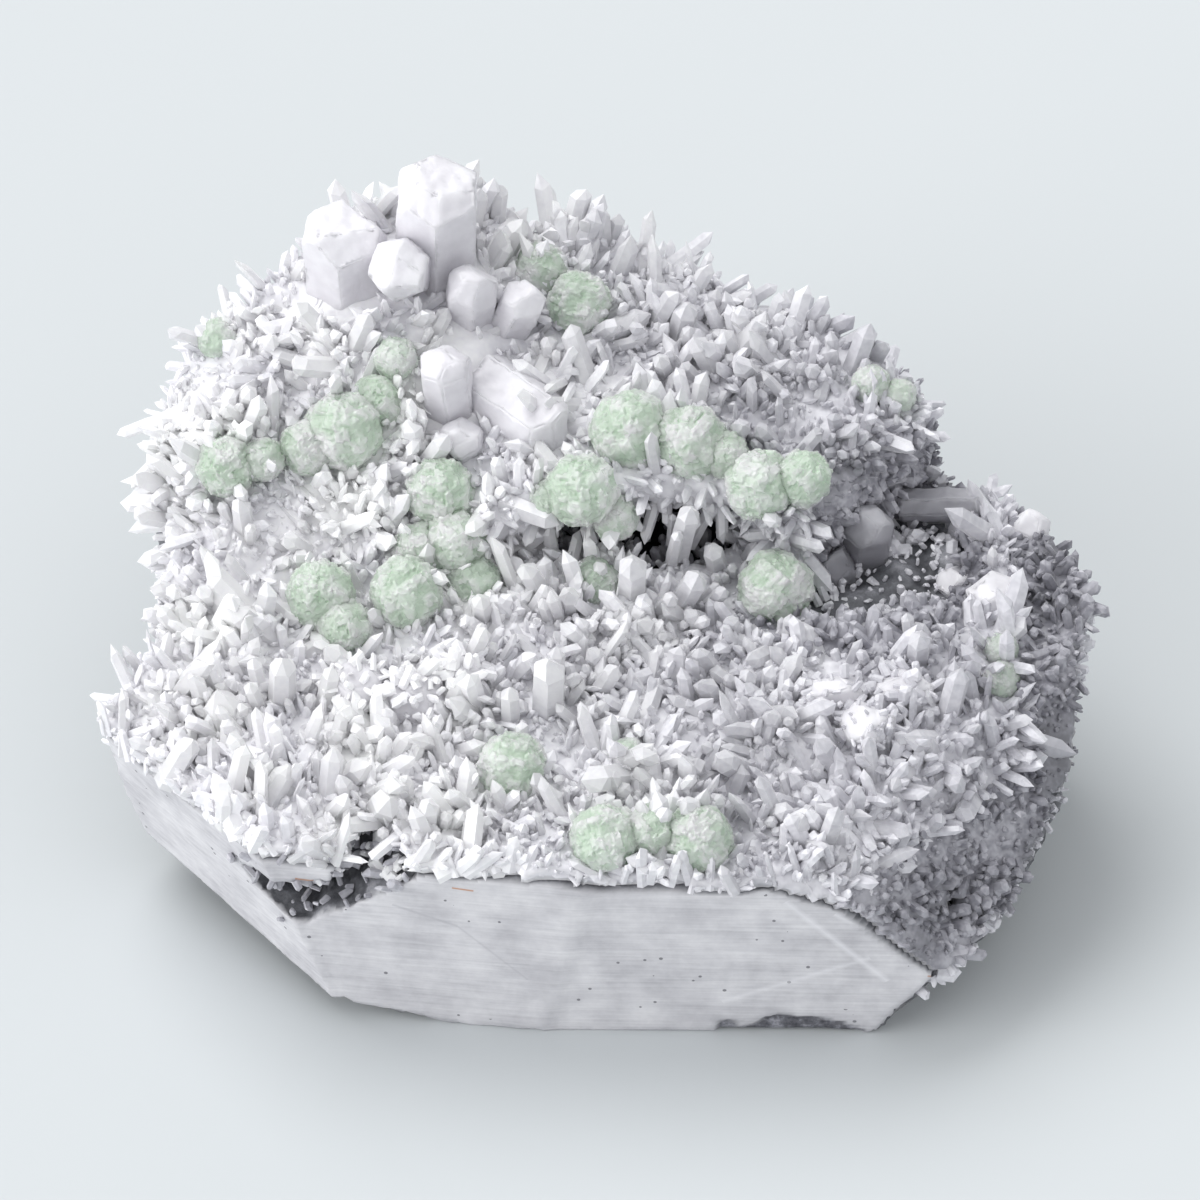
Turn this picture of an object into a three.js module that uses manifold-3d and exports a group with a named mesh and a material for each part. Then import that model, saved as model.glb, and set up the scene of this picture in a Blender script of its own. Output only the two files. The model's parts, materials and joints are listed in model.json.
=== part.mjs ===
// A sugar fluorite cluster. Pale green fluorite and blocky white calcite sit on a druse of quartz points,
// which grew over a piece of grey rock. The rock was sawn flat in front, at the left and underneath.
// Millimetres, +Z up. X runs from left to right, and Y from the sawn front to the broken back.
import * as THREE from "three";
import { ConvexGeometry } from "three/addons/geometries/ConvexGeometry.js";
import { mergeVertices } from "three/addons/utils/BufferGeometryUtils.js";
import Module from "manifold-3d";

const wasm = await Module();
wasm.setup();

// Driving dimensions.
const FRONT_Y = -64; // the sawn front face, at the base
const TERRACE_Z = 37; // the lower terrace, at the front rim
const TERRACE_RISE = 5; // how much the terrace climbs towards the ledge
const LEDGE_Z = 56; // the upper ledge, at its rim
const LEDGE_RISE = 8; // how much the ledge climbs towards the back
const GROUND_Z = 0;
const CRUST = 3.2; // thickness of the quartz crust, up to the tips of its small points
const GAP = 0.3; // clearance between pieces that grew against each other
const FACET = 10; // spacing of the facets on the grown surface
const FIELD = { left: -91, right: 91, front: -78, back: 76 }; // plan area that the surfaces cover
const SKY_Z = 140; // above everything, for cutting tools
const DEPTH_Z = -40; // below everything

const clamp01 = (t) => Math.min(1, Math.max(0, t));
const mix = (a, b, t) => a + (b - a) * t;

// Eases from 0 at a to 1 at b.
function ramp(a, b, value) {
  const t = clamp01((value - a) / (b - a));
  return t * t * (3 - 2 * t);
}

// A repeatable random source, 0 to 1.
function randomFrom(seed) {
  let state = seed >>> 0;
  return () => {
    state = (state + 0x6d2b79f5) >>> 0;
    let t = Math.imul(state ^ (state >>> 15), 1 | state);
    t = (t + Math.imul(t ^ (t >>> 7), 61 | t)) ^ t;
    return ((t ^ (t >>> 14)) >>> 0) / 4294967296;
  };
}

// Low swells that keep the grown surfaces from being flat.
function swell(x, y) {
  return (
    1.1 * Math.sin(x / 9.5 + 0.6) * Math.cos(y / 8.2 - 0.4) +
    0.8 * Math.sin((x + y) / 6.1) * Math.cos((x - y) / 7.3)
  );
}

// Distance past the line where the terrace breaks down to the right-hand front corner.
function pastCornerBreak(x, y) {
  const lineX = 42;
  const lineY = FRONT_Y + 8;
  return (x - lineX) * 0.717 - (y - lineY) * 0.696;
}

// Height of the lower terrace and of the right-hand shelf.
function terraceHeight(x, y) {
  const back = y - FRONT_Y;
  let z = TERRACE_Z + TERRACE_RISE * ramp(0, 56, back);
  z -= 26 * ramp(-1, 21, pastCornerBreak(x, y));
  z -= 5 * ramp(-56, -82, x);
  return z + swell(x, y);
}

// Height of the upper ledge, which becomes a slope down to the terrace on the left.
function ledgeHeight(x, y) {
  const back = y - FRONT_Y;
  const foot = TERRACE_Z + 2;
  const slope = foot + (LEDGE_Z + LEDGE_RISE - foot) * ramp(40, 110, back);
  const shelf = LEDGE_Z + LEDGE_RISE * ramp(66, 126, back);
  let z = mix(slope, shelf, ramp(-32, -8, x));
  z += 6 * Math.exp(-((x + 32) ** 2 + (back - 108) ** 2) / (2 * 15 ** 2));
  z -= 6 * ramp(-58, -76, x);
  z -= 4 * ramp(38, 60, x);
  return z + swell(x, y);
}

// Plan outline of the whole rock, anticlockwise from the front left. It runs past the sawn faces.
const ROCK_OUTLINE = [
  [-66, -76], [-30, -76], [10, -78], [45, -78], [56, -66], [67.5, -53], [74.5, -36], [78, -19], [80, -6],
  [77, 4], [70, 12], [62, 18], [56, 27], [48, 34], [30, 43], [13, 53], [0, 59], [-13, 61], [-28, 64],
  [-42, 60], [-53, 53], [-60, 42], [-68, 36], [-73, 26], [-73, 10], [-71, -6], [-75, -19], [-82, -28],
  [-82, -40], [-77, -60],
].map(([x, y]) => new THREE.Vector2(x, y));

// Height of each ring of the rock's side, and how far it stands in from the outline.
const SIDE_TOP = 90;
const SIDE_RINGS = [
  [DEPTH_Z, 11], [GROUND_Z, 10], [9, 5], [20, 1], [38, 0], [60, 2.5], [SIDE_TOP, 6],
];

// Plan outline of the upper ledge. Its front rim overhangs the terrace.
const LEDGE_OUTLINE = [
  [-95, -28], [-42, -24], [-31, -11], [-23, 1], [-11, 4.5], [2, 6], [13, 7.5], [24, 6], [32, 2.5],
  [40, 6.5], [45, 13], [49, 20], [53, 22], [55, 34], [55, 80], [-95, 80],
];

// Plan area that carries larger quartz points.
const DRUSE_EDGE = ROCK_OUTLINE.map(({ x, y }) => [x * 0.93, y * 0.93]);

// The bare floor of the right-hand shelf, where no druse grew.
const BARE_SHELF = [
  [29, -12], [35, -15], [46, -14], [58, -8], [62, 2], [58, 12], [50, 14], [42, 8], [34, 1],
];

function solid(geometry) {
  const plain = geometry.clone();
  plain.deleteAttribute("normal");
  plain.deleteAttribute("uv");
  const merged = mergeVertices(plain, 1e-4);
  return new wasm.Manifold(
    new wasm.Mesh({
      numProp: 3,
      vertProperties: new Float32Array(merged.attributes.position.array),
      triVerts: new Uint32Array(merged.index.array),
    }),
  );
}

function geometryOf(manifold) {
  const mesh = manifold.getMesh();
  const geometry = new THREE.BufferGeometry();
  geometry.setAttribute("position", new THREE.BufferAttribute(new Float32Array(mesh.vertProperties), 3));
  geometry.setIndex(new THREE.BufferAttribute(new Uint32Array(mesh.triVerts), 1));
  return geometry;
}

const joined = (solids) => solids.reduce((all, one) => all.add(one));
const cutBy = (body, cutters) => cutters.reduce((left, one) => left.subtract(one), body);

// The largest separate body, which drops the slivers that cutting leaves.
function largest(manifold) {
  return manifold.decompose().reduce((big, one) => (one.volume() > big.volume() ? one : big));
}

// A block with a faceted top at heightAt(x, y) + lift, over the whole field.
function surfaceBlock(heightAt, lift) {
  const columns = Math.round((FIELD.right - FIELD.left) / FACET);
  const rows = Math.round((FIELD.back - FIELD.front) / FACET);
  const random = randomFrom(11);
  const positions = [];
  for (let row = 0; row <= rows; row++) {
    for (let column = 0; column <= columns; column++) {
      const inside = row > 0 && row < rows && column > 0 && column < columns ? 0.32 : 0;
      const x = mix(FIELD.left, FIELD.right, (column + inside * (random() * 2 - 1)) / columns);
      const y = mix(FIELD.front, FIELD.back, (row + inside * (random() * 2 - 1)) / rows);
      positions.push(x, y, heightAt(x, y) + lift);
    }
  }
  const perLayer = positions.length / 3;
  for (let i = 0; i < perLayer; i++) positions.push(positions[3 * i], positions[3 * i + 1], DEPTH_Z);
  const index = [];
  const at = (row, column) => row * (columns + 1) + column;
  for (let row = 0; row < rows; row++) {
    for (let column = 0; column < columns; column++) {
      const [a, b] = [at(row, column), at(row, column + 1)];
      const [c, d] = [at(row + 1, column + 1), at(row + 1, column)];
      index.push(a, b, c, a, c, d);
      index.push(a + perLayer, c + perLayer, b + perLayer, a + perLayer, d + perLayer, c + perLayer);
    }
  }
  const wall = (from, to) => index.push(from, from + perLayer, to + perLayer, from, to + perLayer, to);
  for (let column = 0; column < columns; column++) {
    wall(at(0, column), at(0, column + 1));
    wall(at(rows, column + 1), at(rows, column));
  }
  for (let row = 0; row < rows; row++) {
    wall(at(row + 1, 0), at(row, 0));
    wall(at(row, columns), at(row + 1, columns));
  }
  const geometry = new THREE.BufferGeometry();
  geometry.setAttribute("position", new THREE.Float32BufferAttribute(positions, 3));
  geometry.setIndex(index);
  return solid(geometry.toNonIndexed());
}

// An upright prism over a plan outline.
function planPrism(outline, low, high) {
  const shape = new THREE.Shape(outline.map(([x, y]) => new THREE.Vector2(x, y)));
  const geometry = new THREE.ExtrudeGeometry(shape, { depth: high - low, bevelEnabled: false });
  return solid(geometry.translate(0, 0, low));
}

// The rock's side: rings of the outline, each with its own inset and broken bumps.
function rockSide(furtherIn) {
  const curve = new THREE.CatmullRomCurve3(
    ROCK_OUTLINE.map((p) => new THREE.Vector3(p.x, p.y, 0)), true, "centripetal",
  );
  const around = 42;
  const points = curve.getSpacedPoints(around).slice(0, around);
  const random = randomFrom(5);
  const positions = [];
  for (const [z, inset] of SIDE_RINGS) {
    for (const point of points) {
      const length = Math.hypot(point.x, point.y);
      const scale = (length - inset - furtherIn + (random() - 0.5) * 3) / length;
      const step = z > GROUND_Z && z < SIDE_TOP ? (random() - 0.5) * 6 : 0;
      positions.push(point.x * scale, point.y * scale, z + step);
    }
  }
  const index = [];
  for (let ring = 0; ring + 1 < SIDE_RINGS.length; ring++) {
    for (let i = 0; i < around; i++) {
      const [a, b] = [ring * around + i, ring * around + ((i + 1) % around)];
      index.push(a, b, b + around, a, b + around, a + around);
    }
  }
  const lowCentre = positions.length / 3;
  positions.push(0, 0, DEPTH_Z, 0, 0, SIDE_TOP);
  const top = (SIDE_RINGS.length - 1) * around;
  for (let i = 0; i < around; i++) {
    const next = (i + 1) % around;
    index.push(lowCentre, next, i);
    index.push(lowCentre + 1, top + i, top + next);
  }
  const geometry = new THREE.BufferGeometry();
  geometry.setAttribute("position", new THREE.Float32BufferAttribute(positions, 3));
  geometry.setIndex(index);
  return solid(geometry.toNonIndexed());
}

// Everything on the outer side of a plane through a point.
function beyondPlane(point, normal) {
  const size = 400;
  const box = new THREE.BoxGeometry(size, size, size).translate(0, 0, size / 2);
  const turn = new THREE.Quaternion().setFromUnitVectors(
    new THREE.Vector3(0, 0, 1), new THREE.Vector3(...normal).normalize(),
  );
  return solid(box.applyQuaternion(turn).translate(...point));
}

// The body that corner points span.
const hull = (corners) => solid(new ConvexGeometry(corners.map((corner) => new THREE.Vector3(...corner))));

// A rough boulder shape, for hollows that were broken out.
function boulder(centre, radii, seed, turn = 0) {
  const random = randomFrom(seed);
  const points = [];
  const ball = new THREE.IcosahedronGeometry(1, 1).attributes.position;
  for (let i = 0; i < ball.count; i++) {
    const p = new THREE.Vector3().fromBufferAttribute(ball, i);
    if (points.some((q) => q.key.distanceTo(p) < 1e-3)) continue;
    const reach = 0.86 + 0.28 * random();
    points.push({ key: p, place: p.clone().multiplyScalar(reach).multiply(new THREE.Vector3(...radii)) });
  }
  const geometry = new ConvexGeometry(points.map((p) => p.place));
  return solid(geometry.rotateZ(turn).translate(...centre));
}

// The sawn faces: in front, the front face's left part, the left and underneath. A break cuts the corner.
const frontSaw = beyondPlane([0, FRONT_Y, 0], [-0.02, -1, -0.07]);
const frontSawLeft = beyondPlane([-12, FRONT_Y, 0], [-0.12, -1, -0.05]);
const leftSaw = beyondPlane([-51.7, FRONT_Y + 1.2, 33], [-1, -0.903, -0.342]);
const belowGround = beyondPlane([0, 0, GROUND_Z], [0, 0, -1]);
const cornerBreak = beyondPlane([-24, FRONT_Y, GROUND_Z], [-0.2, -0.05, -1]);
const sawCuts = [frontSaw, frontSawLeft, leftSaw, belowGround, cornerBreak];

// The gully at the front left corner: a notch that is open to the terrace, and an undercut to its left.
const gully = joined([
  hull([
    [-36, -51, 52], [-25, -70, 52], [-37, -70, 52], [-49, -70, 20.5], [-26, -70, 37], [-44, -54, 27],
    [-36, -50, 37],
  ]),
  hull([
    [-62, -60, 25], [-61, -60, 31], [-48, -70, 20.5], [-42, -70, 33], [-46, -51, 25], [-42, -51, 33],
    [-57, -51, 28],
  ]),
]);

// The open recess under the ledge's rim, and the narrow crack at the right-hand front corner.
const recess = joined([
  boulder([12, 11, 47.5], [19, 15, 7.5], 31),
  boulder([-8, 8, 47], [12, 10, 6], 32),
]);
const cornerCrack = boulder([57, FRONT_Y + 5, 25], [1.3, 9, 9], 33, 0.35);
const hollows = [gully, recess, cornerCrack];

// The grown surface, lifted by an even amount and let out by the same amount over the ledge's rim.
function bed(lift) {
  const lower = surfaceBlock(terraceHeight, lift);
  const ledge = planPrism(letOut(LEDGE_OUTLINE, lift), DEPTH_Z, SKY_Z);
  return lower.add(surfaceBlock(ledgeHeight, lift).intersect(ledge));
}

// A plan outline moved outwards by an even amount.
function letOut(outline, by) {
  return outline.map((point, i) => {
    const before = outline[(i + outline.length - 1) % outline.length];
    const after = outline[(i + 1) % outline.length];
    const [dx, dy] = [after[0] - before[0], after[1] - before[1]];
    const length = Math.hypot(dx, dy);
    return [point[0] + (by * dy) / length, point[1] - (by * dx) / length];
  });
}

function insideOutline(outline, x, y) {
  let inside = false;
  for (let i = 0, j = outline.length - 1; i < outline.length; j = i++) {
    const [xi, yi] = outline[i];
    const [xj, yj] = outline[j];
    if (yi > y !== yj > y && x < ((xj - xi) * (y - yi)) / (yj - yi) + xi) inside = !inside;
  }
  return inside;
}

function surfaceHeight(x, y) {
  const terrace = terraceHeight(x, y);
  return insideOutline(LEDGE_OUTLINE, x, y) ? Math.max(ledgeHeight(x, y), terrace) : terrace;
}

// Turns a shape that stands on +Z to point along a direction, about its own foot, and moves it to a place.
function stood(geometry, place, along, turn) {
  const up = new THREE.Vector3(0, 0, 1);
  const lean = new THREE.Quaternion().setFromUnitVectors(up, new THREE.Vector3(...along).normalize());
  return geometry.rotateZ(turn).applyQuaternion(lean).translate(...place);
}

// A six-sided column that stands on +Z, from its profile of radius and height.
function sixSided(profile) {
  const points = profile.map(([radius, height]) => new THREE.Vector2(radius, height));
  return new THREE.LatheGeometry(points, 6).rotateX(Math.PI / 2);
}

// A quartz point: a slightly tapered six-sided prism with a six-sided tip. wider leaves room around it.
function quartzPoint({ place, along, thickness, length, turn }, wider = 0) {
  const radius = thickness / 2 + wider;
  const tip = thickness * 1.1;
  const profile = [
    [0, 0], [radius * 1.06, 0], [radius * 0.94, length + wider - tip], [0, length + wider],
  ];
  return solid(stood(sixSided(profile), place, along, turn));
}

// A calcite crystal: a stout six-sided block with a low end.
function calciteBlock({ foot, size, along, turn }, wider = 0) {
  const [width, depth, length] = size.map((value) => value + 2 * wider);
  const end = Math.min(width, depth) * 0.16;
  const profile = [
    [0, 0], [0.48, 0], [0.5, length - end], [0.33, length], [0, length],
  ];
  const block = sixSided(profile).scale(width, depth, 1).translate(0, 0, -wider);
  return solid(stood(block, foot, along, turn));
}

// A fluorite crystal: a cube with broad bevels on its edges and corners, as frosted, rounded crystals have.
function fluoriteCrystal([x, y, z, radius], wider = 0) {
  const far = 2.2;
  const reach = (radius + 1.4 * wider) / Math.hypot(1, 1, far);
  const points = [];
  for (const axis of [0, 1, 2]) {
    for (const a of [-1, 1]) {
      for (const b of [-1, 1]) {
        for (const c of [-far, far]) {
          const p = [a, b];
          p.splice(axis, 0, c);
          points.push(new THREE.Vector3(...p).multiplyScalar(reach));
        }
      }
    }
  }
  const random = randomFrom(Math.round(1000 + 37 * x + 91 * y));
  const angles = new THREE.Euler(random() * 3, random() * 3, random() * 3);
  const turn = new THREE.Quaternion().setFromEuler(angles);
  const geometry = new ConvexGeometry(points.map((p) => p.applyQuaternion(turn)));
  return solid(geometry.translate(x, y, z));
}

// Calcite groups. Each crystal has the foot of its axis, its width, depth and length, and the way it points.
const CALCITE_GROUPS = {
  calcite_group_upper: [
    { foot: [-27.5, 46, 62], size: [15.5, 18, 28.5], along: [0.02, -0.03, 1], turn: 0.5 },
    { foot: [-41.5, 43, 60], size: [15, 14, 23], along: [-0.06, -0.05, 1], turn: 0.4 },
    { foot: [-32, 44, 71], size: [11, 11, 17], along: [-0.12, -0.85, 0.75], turn: 0.2 },
    { foot: [-22, 37, 67], size: [9.5, 9.5, 13], along: [0.1, -0.35, 1], turn: 0.6 },
    { foot: [-15.5, 36, 65], size: [8, 8, 12], along: [0.35, -0.3, 1], turn: 0.3 },
  ],
  calcite_group_middle: [
    { foot: [-24.5, 22, 56], size: [9.5, 9.5, 17.5], along: [-0.08, -0.12, 1], turn: 0.5 },
    { foot: [-20, 25, 63], size: [11, 12, 18], along: [0.72, -0.62, -0.08], turn: 0.2 },
    { foot: [-22.5, 17.5, 55], size: [8, 8, 9], along: [-0.1, -0.7, 1], turn: 0.4 },
  ],
  calcite_right_shelf: [
    { foot: [66, -5, 38], size: [10, 9, 11.5], along: [-0.1, -0.45, 1], turn: 0.7 },
    { foot: [61, -3, 38], size: [7, 7, 9], along: [-0.4, 0.1, 1], turn: 0.2 },
  ],
  calcite_under_ledge: [
    { foot: [44, 7.5, 38], size: [10, 9, 15], along: [0.05, -0.3, 1], turn: 0.3 },
    { foot: [41, 3, 38], size: [7, 7, 10], along: [-0.4, -0.4, 1], turn: 0.6 },
  ],
  calcite_back_prism: [
    { foot: [50, 13.5, 45], size: [6, 6, 15], along: [1, -0.1, 0.12], turn: 0.3 },
    { foot: [61, 11, 39], size: [7, 7, 8.5], along: [0.1, -0.4, 1], turn: 0.1 },
  ],
  calcite_back_corner: [{ foot: [70, 8, 39], size: [7, 6, 10], along: [0.25, -0.1, 1], turn: 0.5 }],
  calcite_terrace_left: [
    { foot: [-39, -27, 38], size: [12, 11, 11], along: [-0.2, -0.3, 1], turn: 0.3 },
    { foot: [-31, -30, 38], size: [11, 10, 10.5], along: [0.1, -0.2, 1], turn: 0.8 },
    { foot: [-25, -26, 38], size: [9, 9, 11], along: [0.25, -0.1, 1], turn: 0.1 },
  ],
  calcite_terrace_right: [
    { foot: [39, -29, 37], size: [13, 10, 11.5], along: [-0.1, -0.25, 1], turn: 0.3 },
    { foot: [48, -28, 37], size: [12, 11, 10.8], along: [0.15, -0.3, 1], turn: 0.6 },
    { foot: [43, -34.5, 37], size: [10, 9, 12.5], along: [0.1, -0.4, 1], turn: 0.9 },
  ],
};

// Fluorite groups. Each crystal has the place of its centre and its radius.
const FLUORITE_GROUPS = {
  fluorite_rim_middle: [[5, 13.5, 62.5, 7.6], [15, 11, 62, 7.2], [21, 8.5, 61.5, 4.4]],
  fluorite_rim_left: [[-3, 2.5, 59.5, 6.8], [-8, 3, 57, 4.2], [2.5, 1.5, 54, 4.4]],
  fluorite_rim_right: [[26.5, 3, 60, 6.6], [33.5, 3, 61.5, 5.4]],
  fluorite_under_rim: [[29, -7.5, 46.5, 7.2]],
  fluorite_behind_points: [[-1, -5.5, 46, 4.6]],
  fluorite_slope_bright: [[-42.5, 15, 61, 7.4], [-48.5, 13, 59, 5.4], [-37, 20, 63, 5]],
  fluorite_slope_edge: [[-62, 10, 57.5, 5.8], [-56, 10.5, 58.5, 4.2]],
  fluorite_slope_main: [
    [-26.5, 6, 55.5, 6.4], [-24, -1, 50.5, 6.4], [-32, -11, 49, 6.8], [-21, -6, 46.5, 5.2], [-30, -2, 50, 5],
  ],
  fluorite_slope_lower: [[-46, -11, 48.5, 6.4], [-42, -16.5, 46.5, 5]],
  fluorite_terrace_front: [[-14.5, -45, 42.5, 6.6]],
  fluorite_front_rim: [[1, -60, 41.5, 6.6], [8.5, -59, 42.5, 5], [16, -60, 41.5, 6.4]],
  fluorite_terrace_small: [[4.5, -43, 43, 3.6]],
  fluorite_top: [[-3.5, 39.5, 67, 6.2], [-10, 45.5, 69, 5.2]],
  fluorite_by_calcite: [[-34, 25.5, 67.5, 4.2]],
  fluorite_right_shelf: [[66, -20, 44.5, 3.4], [66, -26, 43.5, 3.6]],
  fluorite_left_edge: [[-64, 33, 65, 3.8]],
  fluorite_ledge_right: [[45, 24, 63, 3.8], [50, 23, 61.5, 3.2]],
};

// The larger quartz points that stand out one by one: foot, direction, thickness and length.
const CHOSEN_POINTS = [
  { place: [-8.7, -31, 37], along: [0.02, -0.1, 1], thickness: 6.4, length: 19, turn: 0.2 },
  { place: [-52.5, -29, 37], along: [0.05, -0.1, 1], thickness: 5, length: 17, turn: 0.4 },
  { place: [-60, -33, 36], along: [-0.2, 0, 1], thickness: 7, length: 13, turn: 0.1 },
  { place: [-3, 34, 62.5], along: [0.85, 0.25, 0.3], thickness: 4.4, length: 13, turn: 0.2 },
  { place: [13, 1, 46], along: [0.15, -0.2, 1], thickness: 4.2, length: 14, turn: 0.3 },
  { place: [5, -7, 40], along: [0.02, -0.3, 1], thickness: 5.4, length: 19, turn: 0.1 },
  { place: [12, -8, 40], along: [0.3, -0.3, 1], thickness: 4.6, length: 16, turn: 0.6 },
  { place: [-9, -6, 42], along: [-0.3, -0.3, 1], thickness: 4, length: 13, turn: 0.4 },
  { place: [-5, -9, 40], along: [0, -0.4, 1], thickness: 4, length: 13, turn: 0.8 },
  { place: [-18, 58, 62], along: [0.1, 0.1, 1], thickness: 3.2, length: 14, turn: 0.2 },
  { place: [-5, 56, 61], along: [-0.2, 0.1, 1], thickness: 3.2, length: 12, turn: 0.5 },
  { place: [1, 55, 60], along: [0.2, 0.15, 1], thickness: 3, length: 12, turn: 0.2 },
  { place: [13, 37, 60], along: [0.15, -0.2, 1], thickness: 4.6, length: 12, turn: 0.1 },
  { place: [20, 29, 59], along: [-0.4, -0.1, 1], thickness: 4, length: 12, turn: 0.7 },
  { place: [-38, -23, 39], along: [-0.6, -0.2, 1], thickness: 4, length: 14, turn: 0.3 },
  { place: [-17, -24, 39], along: [0.6, -0.2, 1], thickness: 3.8, length: 13, turn: 0.3 },
  { place: [-23, -22, 39], along: [0.3, -0.1, 1], thickness: 3.6, length: 15, turn: 0.5 },
  { place: [52, -38, 33], along: [0.2, -0.2, 1], thickness: 4.6, length: 12, turn: 0.4 },
  { place: [57, -37, 32], along: [-0.3, -0.1, 1], thickness: 3.6, length: 12, turn: 0.1 },
  { place: [-42, -44, 37], along: [0.5, -0.4, 1], thickness: 5, length: 11, turn: 0.4 },
  { place: [-36, -50, 36], along: [0.2, -0.5, 1], thickness: 6, length: 12, turn: 0.2 },
  { place: [30, -56, 36], along: [0.3, -0.3, 1], thickness: 4, length: 11, turn: 0.2 },
];
const POINT_SPACING = 13; // between the other larger points
const POINT_THICKNESS = [2.4, 4.4];
const POINT_LENGTH = [8, 13];

// The other larger points, one in each field of a loose grid, each with its own lean.
function scatteredPoints(keepOff) {
  const random = randomFrom(77);
  const points = [];
  for (let x = FIELD.left + 6; x < FIELD.right; x += POINT_SPACING) {
    for (let y = FIELD.front; y < FIELD.back; y += POINT_SPACING) {
      const px = x + (random() - 0.5) * POINT_SPACING * 0.9;
      const py = y + (random() - 0.5) * POINT_SPACING * 0.9;
      const lean = [(random() - 0.5) * 1.3, (random() - 0.5) * 1.3 - 0.15];
      const size = random();
      const turn = random() * 2;
      if (!insideOutline(DRUSE_EDGE, px, py) || insideOutline(BARE_SHELF, px, py)) continue;
      if (pastCornerBreak(px, py) > 0) continue;
      if (keepOff.some((spot) => Math.hypot(spot.x - px, spot.y - py) < spot.reach)) continue;
      points.push({
        place: [px, py, surfaceHeight(px, py) - 0.5],
        along: [...lean, 1],
        thickness: mix(...POINT_THICKNESS, size),
        length: mix(...POINT_LENGTH, size),
        turn,
      });
    }
  }
  return points;
}

const spots = [];
for (const crystals of Object.values(FLUORITE_GROUPS)) {
  for (const [x, y, , radius] of crystals) spots.push({ x, y, reach: radius * 0.9 });
}
for (const crystals of Object.values(CALCITE_GROUPS)) {
  for (const { foot, size } of crystals) spots.push({ x: foot[0], y: foot[1], reach: size[0] * 0.6 });
}
for (const { place, thickness } of CHOSEN_POINTS) spots.push({ x: place[0], y: place[1], reach: thickness });

const side = rockSide(0);
const rock = largest(cutBy(bed(0).intersect(side), [...sawCuts, ...hollows]));

// What the druse stands on, and what the other crystals stand on: the crust, or the rock where that is bare.
const bareShelf = planPrism(BARE_SHELF, DEPTH_Z, SKY_Z);
const bareShelfWithin = planPrism(letOut(BARE_SHELF, -GAP), DEPTH_Z, SKY_Z);
const overRock = bed(GAP);
const overCrust = overRock.add(bed(CRUST + 2 * GAP).subtract(bareShelfWithin));

const look = (color, roughness) => new THREE.MeshStandardMaterial({ color, roughness, metalness: 0 });
const calciteLook = look(0xe9e2e8, 0.3);
const fluoriteLook = look(0xc5d8c4, 0.35);
const quartzLook = look(0xdcdbe3, 0.2);
const stoneLook = look(0xb9b8bd, 0.8);

// Each group is cut to sit on the rock, and to stay clear of the groups before it.
const pieces = [{ name: "matrix_rock", body: rock, finish: stoneLook }];
const clearances = [];
function addGroups(groups, make, finish) {
  for (const [name, crystals] of Object.entries(groups)) {
    const whole = joined(crystals.map((crystal) => make(crystal)));
    const body = largest(cutBy(whole, [overCrust, ...clearances]));
    pieces.push({ name, body, finish });
    clearances.push(joined(crystals.map((crystal) => make(crystal, GAP))));
  }
}
addGroups(CALCITE_GROUPS, calciteBlock, calciteLook);
addGroups(FLUORITE_GROUPS, fluoriteCrystal, fluoriteLook);

const points = joined([...CHOSEN_POINTS, ...scatteredPoints(spots)].map((point) => quartzPoint(point)));
const crust = bed(GAP + CRUST).intersect(rockSide(0.6)).subtract(bareShelf);
const druse = largest(cutBy(crust.add(cutBy(points, clearances)), [overRock, ...sawCuts, ...hollows]));
pieces.push({ name: "quartz_druse", body: druse, finish: quartzLook });

// The whole stands centred on its own box in X and Y, with its sawn bottom at Z = 0.
const group = new THREE.Group();
for (const { name, body, finish } of pieces) {
  const mesh = new THREE.Mesh(geometryOf(body), finish);
  mesh.name = name;
  group.add(mesh);
}
const box = new THREE.Box3().setFromObject(group);
const centre = box.getCenter(new THREE.Vector3());
group.position.set(-centre.x, -centre.y, 0);

export default group;
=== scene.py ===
# %% [markdown]
# # Sugar fluorite cluster
# A hand specimen: pale green, rounded fluorite crystals and blocky white calcite sit on a druse of quartz
# points, which grew over a piece of grey rock. The rock was sawn in front, at the left and underneath.
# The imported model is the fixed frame. Everything here is in metres, in that same frame.

# %% Load the frame
import json
import math
import random
import bmesh
import bpy
import numpy as np
from mathutils import Matrix, Quaternion, Vector, noise
from mathutils.bvhtree import BVHTree

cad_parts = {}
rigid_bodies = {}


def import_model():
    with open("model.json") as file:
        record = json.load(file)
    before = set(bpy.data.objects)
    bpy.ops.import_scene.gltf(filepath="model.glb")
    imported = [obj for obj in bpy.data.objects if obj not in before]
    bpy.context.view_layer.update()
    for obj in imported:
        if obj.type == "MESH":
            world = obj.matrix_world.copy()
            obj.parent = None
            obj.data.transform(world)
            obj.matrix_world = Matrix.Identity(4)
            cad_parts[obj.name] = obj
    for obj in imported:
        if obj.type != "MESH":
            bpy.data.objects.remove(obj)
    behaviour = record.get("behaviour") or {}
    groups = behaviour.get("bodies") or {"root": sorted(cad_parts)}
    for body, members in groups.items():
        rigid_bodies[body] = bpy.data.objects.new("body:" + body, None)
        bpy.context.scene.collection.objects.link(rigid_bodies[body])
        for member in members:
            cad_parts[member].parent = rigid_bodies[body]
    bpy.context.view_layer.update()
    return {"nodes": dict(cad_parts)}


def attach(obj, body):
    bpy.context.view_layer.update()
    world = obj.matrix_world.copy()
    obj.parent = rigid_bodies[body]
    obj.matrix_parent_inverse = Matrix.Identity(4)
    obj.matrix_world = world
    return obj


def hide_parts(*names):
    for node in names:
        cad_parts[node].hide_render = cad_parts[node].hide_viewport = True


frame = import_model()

# %% [markdown]
# The drawing's own numbers are in millimetres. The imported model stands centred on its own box, so each of
# them moves by a small even amount. One function turns a place in the drawing into a place in the scene.

# %% Places in the scene
MM = 0.001
MOVED = Vector((0.6689, 1.8644, 0.0))


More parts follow.
